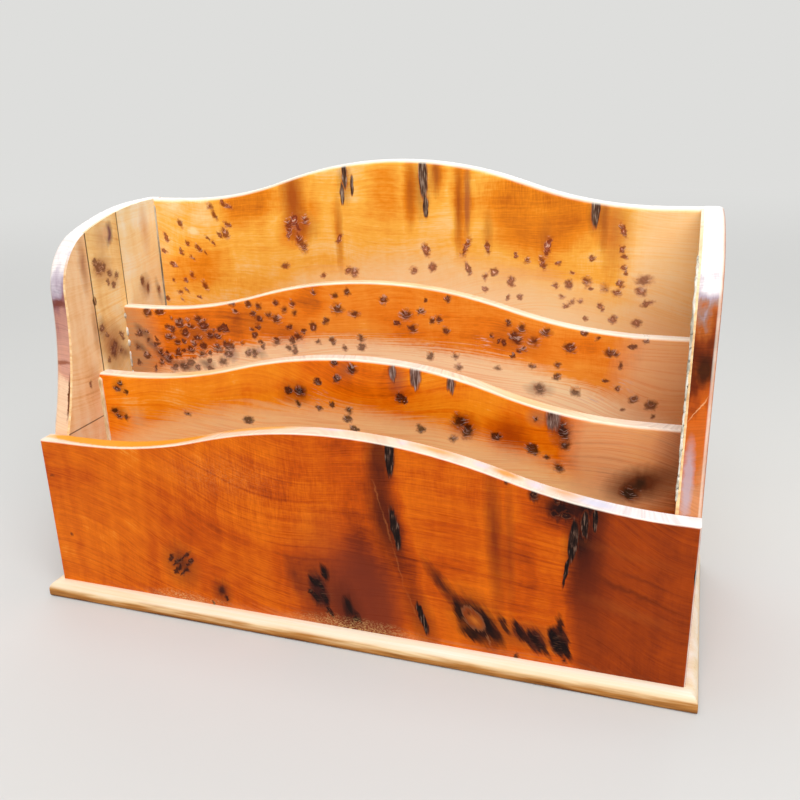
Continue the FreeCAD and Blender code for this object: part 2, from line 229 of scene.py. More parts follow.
def pushed(tree, spread, face, lengths, reach, detail=2.0, lean=0.0):
    """The face's coordinates pushed about by noise, so that nothing drawn on them is a neat ellipse."""
    push = streaks(tree, spread, lengths, detail, lean)
    push = add(tree, "VectorMath", {0: push.outputs["Color"], 1: (0.5, 0.5, 0.5)}, operation="SUBTRACT")
    return add(tree, "VectorMath", {0: push, 1: (*reach, 0), 2: face}, operation="MULTIPLY_ADD")


def burl_wood(name, axes, tones, eye_tones, bark_and_glint_tones, edge_axis, edge_tones, eyes=None, cracks=(),
              clouds=(), fields=(), reflections_and_patches=(), dust=(), smears=(), drawn=(), leaning=(), burr_glints=(), seams=(),
              edge_marks=(), silks=(), level=0.5, flames=0.1, falls=(), sway=(20, 44), lines=0.08,
              veil=0.15, both_ends=True, seed=0, coat=0.1):
    """Varnished burl: flowing fine grain, eyes, bark cracks and dark or pale clouds under a thin gloss.
    axes are the board's length, height and thickness. Marks are ellipses: place, half width and half
    height in millimetres, lean in degrees, weight and soft share. Painted ones start with a tone."""
    material, tree, place, normal = new_surface(name)
    split = add(tree, "SeparateXYZ", {0: place})
    face = add(tree, "CombineXYZ", {i: split.outputs[axis] for i, axis in enumerate(axes)})
    spread = add(tree, "VectorMath", {0: face, 1: (seed, seed, seed)}, operation="ADD")

    # The face pushed about: for the lie of the grain, for clouds, for eyes, for ink-like marks,
    # for fibres torn upwards and for those that lean by the knot.
    warped = pushed(tree, spread, face, (90, 60, 60), sway, detail=1.0)
    bent = pushed(tree, spread, face, (15, 11, 30), (7, 7))
    frayed = pushed(tree, spread, face, (2.2, 1.8, 6), (3.4, 3.0))
    inked = pushed(tree, spread, face, (3.0, 3.8, 8), (2.6, 3.4), detail=5.0)
    torn = pushed(tree, spread, face, (1.2, 6, 8), (1.8, 6), detail=3.0)
    slanted = pushed(tree, spread, face, (1.1, 6, 8), (3.2, 5), detail=4.0, lean=KNOT_LEAN)

    # Placed eyes, and small ones scattered in the fields where the board is full of them.
    fleck = streaks(tree, spread, FLECKS)
    eye = ellipses(tree, frayed, grown_eyes(eyes or {}, seed))
    for spacing in BUD_SPACINGS if fields else ():
        cells = add(tree, "TexVoronoi", {"Vector": frayed, "Scale": 1 / spacing}, voronoi_dimensions="2D")
        crowd = ellipses(tree, cells.outputs["Position"], fields)
        draw = add(tree, "SeparateColor", {0: cells.outputs["Color"]})
        grown = add(tree, "Math", {0: draw, 1: crowd}, operation="LESS_THAN")
        bud = add(tree, "MapRange", {"Value": cells.outputs["Distance"]}, span=(0, 0.42),
                  onto=(0.95, 0.0))
        vigour = add(tree, "MapRange", {"Value": draw.outputs[1]}, onto=(0.45, 1))
        bud = add(tree, "Math", {0: bud, 1: vigour}, operation="MULTIPLY")
        bud = add(tree, "Math", {0: bud, 1: grown}, operation="MULTIPLY")
        eye = add(tree, "Math", {0: eye, 1: bud}, operation="MAXIMUM")

    # Fine grain runs along the board, bends with the figure and flows round the eyes.
    # Growth lines and a silky cross figure show in places. Pores are drawn coarser than real ones, to show.
    lie = add(tree, "SeparateXYZ", {0: warped})
    across = lie.outputs["Y"]
    for start, end, drop in falls:
        sweep = add(tree, "MapRange", {"Value": lie.outputs["X"]}, span=(start, end), onto=(0, drop),
                    interpolation_type="SMOOTHSTEP")
        across = add(tree, "Math", {0: across, 1: sweep}, operation="ADD")
    across = add(tree, "Math", {0: eye, 1: EYE_RISE, 2: across}, operation="MULTIPLY_ADD")
    flow = add(tree, "CombineXYZ", {0: lie.outputs["X"], 1: across, 2: lie.outputs["Z"]})
    grain = streaks(tree, flow, FINE_GRAIN, detail=3.0)
    layers = streaks(tree, flow, GROWTH_LAYERS, detail=3.0)
    pores = streaks(tree, flow, PORES, detail=3.0)
    silk = streaks(tree, spread, SILK)
    flame = streaks(tree, bent, FLAMES, detail=3.0)
    mottle = streaks(tree, spread, MOTTLE, detail=3.0)
    broad = streaks(tree, spread, BROAD_CLOUDS, detail=3.0)
    where = add(tree, "SeparateColor", {0: broad.outputs["Color"]})
    ring = streaks(tree, flow, GROWTH_LINES, detail=1.5)
    ring = add(tree, "MapRange", {"Value": ring}, span=(0.52, 0.68), interpolation_type="SMOOTHSTEP")
    lined = add(tree, "MapRange", {"Value": where.outputs[1]}, span=(0.4, 0.58), onto=(0, -lines))
    silky = add(tree, "MapRange", {"Value": where.outputs[2]}, span=(0.46, 0.62), onto=(0, 0.16))
    silky = add(tree, "Math", {0: ellipses(tree, bent, silks), 1: silky}, operation="MAXIMUM")
    ring = add(tree, "Math", {0: ring, 1: lined}, operation="MULTIPLY")
    silk = add(tree, "Math", {0: silk, 1: 0.5}, operation="SUBTRACT")
    silk = add(tree, "Math", {0: silk, 1: silky}, operation="MULTIPLY")
    tone = add(tree, "Math", {0: ring, 1: silk}, operation="ADD")
    for pattern, share in ((grain, 0.28), (pores, 0.22), (layers, 0.2), (flame, flames * 2), (mottle, 0.3),
                           (where, 0.42)):
        shade = add(tree, "Math", {0: pattern, 1: share, 2: -share / 2}, operation="MULTIPLY_ADD")
        tone = add(tree, "Math", {0: tone, 1: shade}, operation="ADD")
    cloud = ellipses(tree, bent, clouds, join="ADD")
    tone = add(tree, "Math", {0: tone, 1: cloud}, operation="ADD")
    tone = add(tree, "Math", {0: tone, 1: level}, operation="ADD")
    colour = add(tree, "ValToRGB", {"Fac": tone}, stops=even_stops(tones))
    # Pale films, low in the pockets a painted reflection, go under the marks and eyes, patchy with the
    # grain and not on faces turned to the back.
    unevenness = add(tree, "MapRange", {"Value": grain}, span=(0.38, 0.56), onto=(0.68, 1))
    turned = add(tree, "SeparateXYZ", {0: normal})
    not_back_facing = add(tree, "Math", {0: turned.outputs[axes[2]], 1: 0.5}, operation="LESS_THAN")
    unevenness = add(tree, "Math", {0: unevenness, 1: not_back_facing}, operation="MULTIPLY")
    lift = add(tree, "MapRange", {"Value": grain}, span=(0.3, 0.7), onto=(-HAZE_LIFT, HAZE_LIFT))
    lift = add(tree, "CombineXYZ", {1: lift})
    hazed = add(tree, "VectorMath", {0: frayed, 1: lift}, operation="ADD")
    colour = paint(tree, hazed, colour, reflections_and_patches, unevenness)
    for ground, marks in ((torn, smears), (inked, drawn), (slanted, leaning)):
        colour = paint(tree, ground, colour, marks)

    # An eye has a brown halo, a dark rim and often a paler pith, partly a painted glint. Pale strands curl
    # round it, partly torn wood and partly painted glints of light on the varnish.
    halo_tone, rim_tone, heart_tone, pith_and_glint_tone = eye_tones
    ragged = add(tree, "Math", {0: fleck, 1: 0.3, 2: -0.15}, operation="MULTIPLY_ADD")
    ragged = add(tree, "Math", {0: eye, 1: ragged}, operation="ADD")
    eye_colour = add(tree, "ValToRGB", {"Fac": ragged},
                     stops=[(0.2, halo_tone), (0.42, rim_tone), (0.62, rim_tone), (0.76, heart_tone),
                            (0.84, heart_tone), (0.95, pith_and_glint_tone)])
    stain = add(tree, "MapRange", {"Value": ragged}, span=(0.04, 0.48), onto=(0, 0.88))
    near = add(tree, "MapRange", {"Value": eye}, span=(0.02, 0.15))
    stain = add(tree, "Math", {0: stain, 1: near}, operation="MULTIPLY")
    strands = streaks(tree, flow, TORN_STRANDS)
    glint = add(tree, "MapRange", {"Value": strands}, span=(0.56, 0.68), onto=(0, 0.8))
    lit = add(tree, "MapRange", {"Value": eye}, span=(0.02, 0.25), onto=(0, 0.6))
    lit = add(tree, "Math", {0: ellipses(tree, frayed, burr_glints), 1: lit}, operation="MAXIMUM")
    glint = add(tree, "Math", {0: glint, 1: lit}, operation="MULTIPLY")

    # Bark pockets follow the trunk's fibres: ragged along their length, stained at their sides. Their
    # palest fibres are painted glints of light on the varnish in them.
    crack = ellipses(tree, torn, cracks)
    soaked = add(tree, "MapRange", {"Value": crack}, span=(0, 0.15), onto=(0, 0.6))
    fibres = streaks(tree, spread, BARK_FIBRES, detail=3.0)
    fibres = add(tree, "MapRange", {"Value": fibres}, span=(0.34, 0.68))
    bark = add(tree, "ValToRGB", {"Fac": fibres}, stops=even_stops(bark_and_glint_tones))
    gape = add(tree, "MapRange", {"Value": crack}, span=(0.1, 0.3))
    seam = ellipses(tree, face, seams)
    for cover, over in ((stain, eye_colour), (glint, linear(pith_and_glint_tone)), (soaked, linear(halo_tone)),
                        (gape, bark), (seam, linear(bark_and_glint_tones[0]))):
        colour = add(tree, "Mix", {0: cover, 6: colour, 7: over}, data_type="RGBA").outputs[2]

    # The pale film low in the pockets is a painted reflection, and it veils the eyes too. Loose dust lies
    # in the corners.
    veil = add(tree, "Math", {0: not_back_facing, 1: veil}, operation="MULTIPLY")
    colour = paint(tree, hazed, colour, reflections_and_patches, veil)
    crumbs = streaks(tree, spread, DUST_CRUMBS, detail=3.0)
    crumbs = add(tree, "MapRange", {"Value": crumbs}, span=(0.45, 0.65))
    crumbs = add(tree, "Math", {0: crumbs, 1: ellipses(tree, bent, dust)}, operation="MULTIPLY")
    colour = add(tree, "Mix", {0: crumbs, 6: colour, 7: linear(DUST_TONE)}, data_type="RGBA").outputs[2]

    # Sawn edges take their own tones in soft patches along the edge: the reddish and amber ones are the
    # wood, the pale, white and lilac ones a painted highlight.
    patches = streaks(tree, spread, EDGE_PATCHES, detail=3.0)
    along = add(tree, "Math", {0: patches, 1: EDGE_STRAY, 2: -EDGE_STRAY / 2}, operation="MULTIPLY_ADD")
    along = add(tree, "Math", {0: split.outputs[edge_axis], 1: along}, operation="ADD")
    first, last = edge_tones[0][0], edge_tones[-1][0]
    along = add(tree, "MapRange", {"Value": along}, span=(first, last))
    edge_colour = add(tree, "ValToRGB", {"Fac": along},
                      stops=[((mark - first) / (last - first), code) for mark, code in edge_tones])
    sawn = add(tree, "MapRange", {"Value": grain}, span=(0.35, 0.6), onto=(0.84, 1.0))
    edge_colour = add(tree, "Mix", {0: 1.0, 6: edge_colour, 7: sawn}, data_type="RGBA",
                      blend_type="MULTIPLY").outputs[2]
    rim = add(tree, "CombineXYZ", {0: split.outputs[axes[2]], 1: split.outputs[edge_axis]})
    rim = pushed(tree, spread, rim, (2.2, 1.8, 2.2), (1.6, 1.6))
    edge_colour = paint(tree, rim, edge_colour, edge_marks)
    outward = turned.outputs[axes[0]]
    if both_ends:
        outward = add(tree, "Math", {0: outward}, operation="ABSOLUTE")
    end = add(tree, "MapRange", {"Value": outward}, span=(0.75, 0.95))
    end_layers = streaks(tree, spread, END_LAYERS, detail=4.0)
    end_layers = add(tree, "MapRange", {"Value": end_layers}, span=(0.28, 0.7))
    sawn_end = add(tree, "ValToRGB", {"Fac": end_layers}, stops=even_stops(tones[1:4]))
    edge_colour = add(tree, "Mix", {0: end, 6: edge_colour, 7: sawn_end}, data_type="RGBA").outputs[2]
    squareness = add(tree, "Math", {0: turned.outputs[axes[2]]}, operation="ABSOLUTE")
    edge = add(tree, "MapRange", {"Value": squareness}, span=(0.9, 0.4), onto=(0, 0.94),
               interpolation_type="SMOOTHSTEP")
    colour = add(tree, "Mix", {0: edge, 6: colour, 7: edge_colour}, data_type="RGBA").outputs[2]
    # A painted highlight along the rounded arrises, where the edge turns to the face, in the edge's
    # patches.
    arris_highlight = add(tree, "ValToRGB", {"Fac": squareness},
                 stops=[(0.3, "#000000"), (0.5, "#ffffff"), (0.8, "#ffffff"), (0.95, "#000000")])
    arris_highlight = add(tree, "Math", {0: arris_highlight, 1: patches}, operation="MULTIPLY")
    colour = add(tree, "Mix", {0: arris_highlight, 6: colour, 7: linear(ARRIS_HIGHLIGHT_TONE)}, data_type="RGBA").outputs[2]

    fibre = streaks(tree, warped, FINE_GRAIN)
    relief = add(tree, "Math", {0: fibre, 1: 0.3}, operation="MULTIPLY")
    relief = add(tree, "Math", {0: crack, 1: -0.8, 2: relief}, operation="MULTIPLY_ADD")
    gloss = add(tree, "MapRange", {"Value": grain}, span=(0.3, 0.7), onto=(0.26, 0.42))
    varnish(tree, colour, relief, 0.25, gloss, coat)
    return material


BOARD_FACE = ("X", "Z", "Y")
back_eyes = {
    (0.8, 1.5, 42): [
        (-128, 146), (-114, 150), (-118, 146), (-112, 143), (-108, 148), (-104, 146), (-99, 151),
        (-95, 155), (-102, 153), (-123, 139), (-124, 131), (-117, 131), (-113, 134), (-121, 125),
        (-117, 126), (-110, 123), (-120, 121), (-129, 121)],
    (1.2, 2.0, 40): [
        (-126, 153), (-117, 160), (-92, 156), (-90, 160), (-97, 165), (-99, 169), (-92, 171), (-89, 169),
        (-106, 129)],
    (1.4, 1.9, 5): [(-57, 161), (-54, 163), (-48, 163), (-57, 157), (-52, 160)],
    (1.9, 2.4, 20): [(-52, 154), (-50, 151)],
    (1.5, 1.5, 30): [(-60, 141), (-40, 137), (-27, 140), (-24, 139)],
    (1.0, 3.0, 0): [(-31, 155), (31, 153), (68, 154)],
    (1.2, 2.2, 0): [(41, 153), (12, 151), (32, 143), (66, 147), (52, 138), (100, 162)],
    (1.4, 1.5, 0): [
        (6, 141), (15, 143), (40, 140), (44, 142), (56, 131), (72, 137), (78, 138), (100, 139),
        (99, 135)],
    (1.0, 1.1, 0): [
        (54, 150), (59, 148), (73, 147), (40, 134), (75, 132), (77, 128), (80, 130), (79, 143),
        (102, 144), (100, 154), (101, 151), (93, 127), (86, 123)],
    (1.8, 1.4, 0): [(109, 136), (112, 131), (98, 123), (108, 122)],
    (2.4, 2.1, 0): [(110, 141)],
}
back_cracks = [
    (-27, 186, 1.8, 9, 3), (-28.5, 176, 1.1, 6, 0), (-23.5, 180, 1.0, 6, 0), (11, 185, 2.5, 14, 2),
    (12, 171, 1.7, 6, 0), (88, 171, 2.2, 10, 0),
]
back_clouds = [
    (-54, 173, 9, 24, 0, -0.2, 0.8), (-78, 172, 22, 15, 20, -0.36, 0.6), (-44, 168, 7, 14, 0, -0.22),
    (-31, 160, 3, 28, 0, -0.2), (5, 178, 5, 22, 0, -0.34, 0.8), (18, 186, 6, 13, 0, -0.3, 0.8),
    (29, 172, 6, 34, 0, -0.34, 0.8), (64, 170, 34, 24, 0, -0.36, 0.5), (97, 160, 10, 30, 0, -0.2),
    (-8, 176, 14, 20, 0, -0.2, 0.8), (-104, 138, 18, 16, 0, -0.18, 0.8), (-110, 157, 4, 3, 0, 0.4),
    (-121, 170, 10, 8, 0, 0.25), (-54, 158, 11, 10, 0, -0.3, 0.8), (72, 142, 30, 9, 0, -0.14, 0.8),
    (-108, 140, 22, 20, 30, -0.14, 0.8),
]
# The first film is a painted reflection low on the panel; the others are paler patches at its ends.
back_reflection_and_patches = [
    ("#fee4b0", 20, 0, 180, 151, 0, 0.9, 0.12), ("#f8d2a0", 140, 140, 42, 80, 0, 0.7, 0.3),
    ("#f8d2a4", -136, 150, 14, 50, 0, 0.3),
]
back_fields = [
    (-46, 62, 44, 20, 12, 0.45, 0.6), (40, 44, 30, 18, -20, 0.4, 0.6), (86, 84, 24, 20, 30, 0.3, 0.8),
    (0, 70, 150, 70, 0, 0.05, 0.3), (72, 138, 40, 16, 0, 0.12, 0.6),
]
back_smears = [
    ("#a04410", -54, 174, 7.5, 24, 3, 0.85, 0.8), ("#a04a12", -51, 160, 11, 10, 0, 0.75, 0.9),
    ("#a8500f", 5, 178, 3.4, 20, 0, 0.7, 0.9), ("#9c4410", 27.5, 172, 2.6, 26, 0, 0.8, 0.9),
    ("#9a5030", 31.5, 174, 2.2, 22, 0, 0.7, 0.7), ("#9a4c1c", 17, 185, 3.4, 11, 0, 0.75, 0.8),
    ("#b06c3c", 97, 163, 9, 26, 0, 0.55), ("#94461a", 92, 168, 2.4, 18, 0, 0.6, 0.8),
    ("#8a461a", 10.5, 180, 5, 18, 0, 0.7, 0.8), ("#8a461a", -27, 182, 4.4, 13, 0, 0.65, 0.8),
    ("#8a461a", 88, 171, 4.4, 13, 0, 0.65, 0.8), ("#b4621c", -31, 158, 2.6, 22, 0, 0.6, 0.8),
    ("#b0601c", 41, 160, 3, 12, 0, 0.6), ("#a85a20", 67, 156, 3.4, 14, 0, 0.6),
]
back_burl = burl_wood(
    "varnished_golden_burl", BOARD_FACE, tones=["#843a0e", "#c4640f", "#ea8818", "#fab446", "#fcd89c"],
    eye_tones=["#c4622c", "#7c2f18", "#a05038", "#f4d0b8"],
    bark_and_glint_tones=["#352014", "#54392a", "#725848", "#a8937f"], edge_axis="X",
    edge_tones=[(-132, "#fbf0e2"), (0, "#fdf6ec"), (132, "#fdf8f2")], eyes=back_eyes, cracks=back_cracks,
    clouds=back_clouds, fields=back_fields, reflections_and_patches=back_reflection_and_patches, smears=back_smears,
    silks=[(-90, 176, 60, 20, 0, 0.3), (60, 180, 50, 20, 0, 0.4)], level=0.78, lines=0.03, veil=0.14,
    seed=11)
dress("back_panel", back_burl)


# The two sides: shaped boards of the same burl. Their leaning front edges turn over in a round shoulder
# and show reddish growth layers, and the faces outside are full of eyes.
SIDE_FACE = ("Y", "Z", "X")
SIDE_TONES = ["#3f1607", "#8f3c0e", "#cc6212", "#e68a2c", "#f4bc7a"]
SIDE_EYE_TONES = ["#8a420f", "#34150a", "#5a2c16", "#c09468"]
BARK_AND_GLINT_TONES = ["#120805", "#1e0e08", "#46281a", "#9a7a62"]
# Tones up the sides' front edges: the reddish and dark ones are the wood, the greyish lilac and white ones
# toward the shoulder a painted highlight.
LEFT_EDGE_TONES = [
    (7, "#eab48e"), (80, "#f6cda8"), (99, "#f9ceaa"), (105, "#dfa288"), (114, "#d09a88"),
    (126, "#c08a7c"), (134, "#8e6068"), (141, "#b0a0b0"), (150, "#d8d0d8"), (156, "#f8f2ee"),
    (190, "#fdf9f5"),
]
RIGHT_EDGE_TONES = [
    (7, "#c87a48"), (84, "#d08a5c"), (92, "#cc6a2c"), (108, "#cf6018"), (115, "#a84612"),
    (122, "#641f08"), (130, "#561a08"), (138, "#8a3810"), (144, "#b25c24"), (148, "#a07868"),
    (151, "#b0a2b0"), (157, "#f8f2f2"), (190, "#fdf9f8"),
]
side_eyes = {
    (1.5, 1.4, 20): [(-30, 60), (-12, 96), (6, 44), (22, 120), (34, 76), (40, 150), (-4, 140)],
    (2.2, 2.0, 0): [(-22, 34), (14, 84), (30, 30)],
}
side_cracks = [(12, 150, 1.6, 12, 3)]
side_clouds = [(-10, 90, 30, 40, 15, -0.25), (30, 130, 22, 30, 0, 0.15)]
side_fields = [
    (-14, 44, 26, 22, 20, 0.55, 0.6), (24, 98, 24, 20, -30, 0.5, 0.6), (30, 30, 20, 14, 0, 0.35, 0.8),
    (6, 140, 34, 16, 15, 0.5, 0.6), (-20, 96, 16, 12, 0, 0.3, 0.8), (0, 80, 90, 100, 0, 0.06, 0.3),
]
left_marks = [
    ("#5e3018", -132.4, 94, 0.9, 12, 0, 1, 0.5), ("#8a4a30", -136, 109, 8, 1.2, 0, 0.8, 0.6),
    ("#6e3428", -136, 135.5, 8, 2.4, 0, 0.8, 0.6),
]
right_marks = [
    ("#210a05", 136.2, 126, 3.6, 7.5, 0, 0.95, 0.6), ("#b4a8b4", 134, 86, 2.6, 18, 0, 0.75, 0.6),
    ("#f2b880", 135.5, 112, 0.25, 7, -35, 0.6, 0.5),
]
for node, name, edge_tones, edge_marks, seed in (
        ("left_side", "varnished_reddish_burl_left", LEFT_EDGE_TONES, left_marks, 37),
        ("right_side", "varnished_reddish_burl_right", RIGHT_EDGE_TONES, right_marks, 71)):
    side_burl = burl_wood(
        name, SIDE_FACE, tones=SIDE_TONES, eye_tones=SIDE_EYE_TONES, bark_and_glint_tones=BARK_AND_GLINT_TONES, edge_axis="Z",
        edge_tones=edge_tones, eyes=side_eyes, cracks=side_cracks, clouds=side_clouds, fields=side_fields,
        edge_marks=edge_marks, both_ends=False, seed=seed)
    dress(node, side_burl)


# The linings: thin slips sawn from the pale outer wood and glued inside the sides, butted at the dividers.
# The front ones have upright grain, the middle ones are burl and the rear ones nearly plain sapwood.
SLIP_EYE_TONES = ["#b8804c", "#7a4c3a", "#8e6048", "#e0ba94"]
SLIP_BARK_AND_GLINT_TONES = ["#3e2416", "#5c3a24", "#7c5636", "#c8a47c"]
FIRST_JOINT = (-13.0, 90, 0.5, 300, 0, 0.9, 0.5)
SECOND_JOINT = (11.55, 90, 0.45, 300, 0, 0.8, 0.5)
LEVEL_JOINT = (-34, 78.1, 40, 0.4, 0, 0.8, 0.5)
slip_tones = ["#a06c40", "#d49e68", "#f2c48c", "#fcdaac", "#fdeccc"]
for side, edge_tones in (("left", LEFT_EDGE_TONES), ("right", [(7, "#e8bc88"), (190, "#f6deb8")])):
    tan_slip = burl_wood(
        "varnished_tan_slip_" + side, SIDE_FACE, tones=slip_tones, eye_tones=SLIP_EYE_TONES,
        bark_and_glint_tones=SLIP_BARK_AND_GLINT_TONES, edge_axis="Z", edge_tones=edge_tones,
        eyes={(1.0, 1.2, 0): [(-33, 60), (-24, 96)]}, cracks=[(-13.4, 132, 1.0, 2.2, 0)],
        clouds=[(-15, 128, 4, 40, 0, -0.26), (-17, 152, 3, 16, 0, -0.34), (-24, 104, 7, 22, 0, -0.1)],
        drawn=[("#b07e64", -17, 150, 4, 16, 0, 0.75), ("#a8744e", -14.5, 120, 3, 14, 0, 0.6),
               ("#c8935f", -20, 96, 6, 12, 0, 0.5)],
        seams=[FIRST_JOINT, LEVEL_JOINT] if side == "left" else [FIRST_JOINT], level=0.72, flames=0.4,
        lines=0.16, seed=61)
    for node in nodes:
        if node.startswith(side + "_front_lining"):
            dress(node, tan_slip)
slip_eyes = {
    (1.3, 1.6, 20): [
        (-8, 149), (-3, 146), (1, 143), (3, 137), (-1, 139), (6, 141), (-10, 119), (-7, 115), (-2, 109),
        (4, 112), (2, 105), (-8, 103)],
    (2.4, 2.8, 20): [(-4, 106), (-6, 147)],
}
slip_clouds = [(-4, 112, 14, 16, 0, -0.2), (2, 160, 12, 10, 0, -0.12), (-6, 146, 8, 9, 0, -0.16)]
slip_knots = [
    ("#c08c6c", -1, 160, 8, 9, 0, 0.6), ("#75505a", 4.4, 161, 3.6, 6.4, -8, 0.95, 0.6),
    ("#ecc08e", 2.2, 161.6, 2.6, 4.8, -8, 0.9, 0.7), ("#a87256", -4, 146, 9, 9, 0, 0.7),
    ("#b07a5a", 3, 139, 6, 6, 0, 0.6), ("#9a6048", -4, 109, 12, 15, 15, 0.85),
    ("#74402f", -3, 107, 5, 6, 20, 0.85, 0.9), ("#86563e", -10, 119, 4, 7, 0, 0.8),
    ("#8a5a46", 5, 103, 6, 4, -30, 0.75),
]
slip_burr_glints = [(-6, 147, 8, 7, 0, 0.9, 0.8), (-2, 108, 11, 13, 0, 0.7), (0, 160, 6, 6, 0, 0.6)]
burl_slip = burl_wood(
    "varnished_burl_slip", SIDE_FACE, tones=["#96623a", "#d09658", "#f0c078", "#fbd896", "#fdeec6"],
    eye_tones=SLIP_EYE_TONES, bark_and_glint_tones=SLIP_BARK_AND_GLINT_TONES, edge_axis="Z",
    edge_tones=[(7, "#e5b47c"), (190, "#f4d8ae")], eyes=slip_eyes, cracks=[(-12, 132, 0.9, 2, 0)],
    clouds=slip_clouds, fields=[(0, 60, 20, 40, 0, 0.6, 0.5)], drawn=slip_knots, burr_glints=slip_burr_glints,
    seams=[FIRST_JOINT, SECOND_JOINT], level=0.76, flames=0.35, lines=0.16, seed=5)
sap_knots = [
    ("#dfae78", 33, 158, 5, 16, 0, 0.8), ("#a06c4a", 28, 131, 6, 8, 0, 0.8),
    ("#80583c", 26, 134, 2, 4, 10, 0.8, 0.8), ("#80583c", 30, 129, 2, 4, -10, 0.8, 0.8),
    ("#8a6a54", 39, 126, 2.6, 9, 12, 0.8),
]
sap_slip = burl_wood(
    "varnished_sapwood_slip", SIDE_FACE, tones=["#94603c", "#d8a468", "#f6d090", "#fde4ae", "#fef4d8"],
    eye_tones=SLIP_EYE_TONES, bark_and_glint_tones=SLIP_BARK_AND_GLINT_TONES, edge_axis="Z",
    edge_tones=[(7, "#ecc48e"), (190, "#f8e2be")],
    eyes={(1.2, 1.6, 0): [(26, 134), (30, 130), (39, 127)]}, cracks=[(40, 30, 0.7, 6, 0)],
    drawn=sap_knots, burr_glints=[(28, 131, 6, 7, 0, 0.8)], seams=[SECOND_JOINT], level=0.82, flames=0.3,
    lines=0.14, seed=19)
for side in ("left", "right"):
    dress(side + "_middle_lining", burl_slip)
    dress(side + "_rear_lining", sap_slip)


# The rear divider: a thinner burl board glued between the linings.
# Its left end is crowded with dark eyes, and a pale film low down is a painted reflection.
rear_eyes = {
    (1.8, 1.7, 0): [
        (-118, 123), (-111, 124), (-106, 116), (-107, 111), (-103, 109), (-98, 114), (-95, 117),
        (-90, 121), (-88, 118), (-85, 114), (-92, 112), (-94, 109), (-96, 106), (-89, 108), (-90, 104),
        (-79, 117), (-81, 113), (-77, 110), (-74, 109), (-113, 103), (-109, 100), (-103, 104), (-81, 107),
        (-76, 105), (-79, 101), (-101, 97), (-97, 99), (-106, 96)],
    (1.2, 1.6, -35): [
        (-124, 112), (-119, 109), (-126, 105), (-115, 107), (-121, 101), (-113, 98), (-126, 97),
        (-117, 95), (-93, 97), (-86, 97), (-108, 92), (-99, 92)],
    (1.3, 1.3, 0): [
        (-70, 126), (-72, 130), (-63, 130), (-58, 129), (-61, 125), (-58, 123), (-53, 125), (-49, 131),
        (-45, 128), (-41, 131), (-40, 127), (-62, 118), (-61, 115), (-58, 112), (-65, 106), (-62, 106),
        (-57, 110), (-43, 120), (-42, 114), (-39, 116), (-44, 110), (-41, 109), (-31, 121), (-25, 124),
        (-29, 114), (-22, 115), (-16, 112), (-8, 117), (-8, 113), (-30, 137), (-20, 136), (-14, 138),
        (3, 135)],
    (1.9, 1.8, 0): [
        (-19, 130), (-11, 128), (13, 129), (16, 123), (24, 111), (64, 126), (62, 121), (74, 125),
        (84, 119), (72, 100), (87, 100), (101, 118), (111, 99), (118, 97)],
    (1.1, 1.1, 0): [
        (9, 125), (20, 131), (25, 127), (28, 128), (22, 136), (32, 137), (31, 123), (35, 112), (37, 107),
        (58, 128), (63, 116), (65, 117), (54, 120), (69, 110), (79, 111), (54, 108), (79, 106), (95, 124),
        (90, 126), (105, 113), (109, 121), (114, 124), (99, 106), (104, 103), (119, 92), (107, 94)],
}
rear_clouds = [
    (-92, 111, 34, 22, 0, -0.16, 0.6), (-71, 121, 10, 14, 0, -0.25), (-32, 134, 10, 10, 0, -0.25),
    (-46, 114, 14, 8, 0, -0.2), (60, 122, 24, 14, 0, -0.15), (12, 126, 12, 12, 0, -0.15),
    (88, 121, 12, 9, 0, -0.12),
]
# The first film is a painted reflection low on the divider; the others are patches at its ends.
rear_reflection_and_patches = [
    ("#ffe6b6", 0, 20, 184, 99, 0, 0.92, 0.06), ("#ecb886", 142, 100, 44, 60, 0, 0.7, 0.3),
    ("#bc9268", -136, 104, 27, 36, 0, 0.85, 0.5),
]
rear_drawn = [
    ("#6e5444", -122, 113, 7, 3, -38, 0.85, 0.8), ("#75594a", -117, 106.5, 7, 2.6, -38, 0.8, 0.8),
    ("#664c3c", -124, 105, 6, 2.4, -38, 0.75, 0.8), ("#5c463c", -111, 101, 7, 3, -22, 0.85, 0.8),
    ("#5c463c", -100, 97, 9, 3, -12, 0.8, 0.8), ("#6a5248", -88, 99, 6, 3.4, -10, 0.8, 0.8),
    ("#64505a", -74, 105, 4.5, 4.5, 0, 0.7, 0.9), ("#6c544a", -60, 107, 6, 3, -18, 0.7, 0.9),
    ("#8e4416", -92, 113, 17, 10, 0, 0.55), ("#9a480e", -60, 122, 12, 9, 0, 0.5),
    ("#9c480c", -44, 118, 12, 5, 0, 0.5), ("#8e4010", 62, 121, 14, 8, -10, 0.5),
    ("#6a4e48", 72, 100, 8, 4, 0, 0.7),
]
rear_burr_glints = [
    (24, 114.5, 5, 4, 0, 1, 0.6), (47, 119, 5, 4.5, 0, 1, 0.6), (106, 104, 6, 4, 0, 1, 0.6),
    (93, 98, 7, 3.5, 0, 1, 0.6), (-104, 98, 16, 6, -10, 0.9, 0.7), (-76, 105, 9, 5, 0, 0.9, 0.7),
    (-40, 112, 9, 5, 0, 0.9, 0.7), (-60, 108, 8, 5, 0, 0.9, 0.7), (112, 124, 10, 5, 0, 0.7),
]
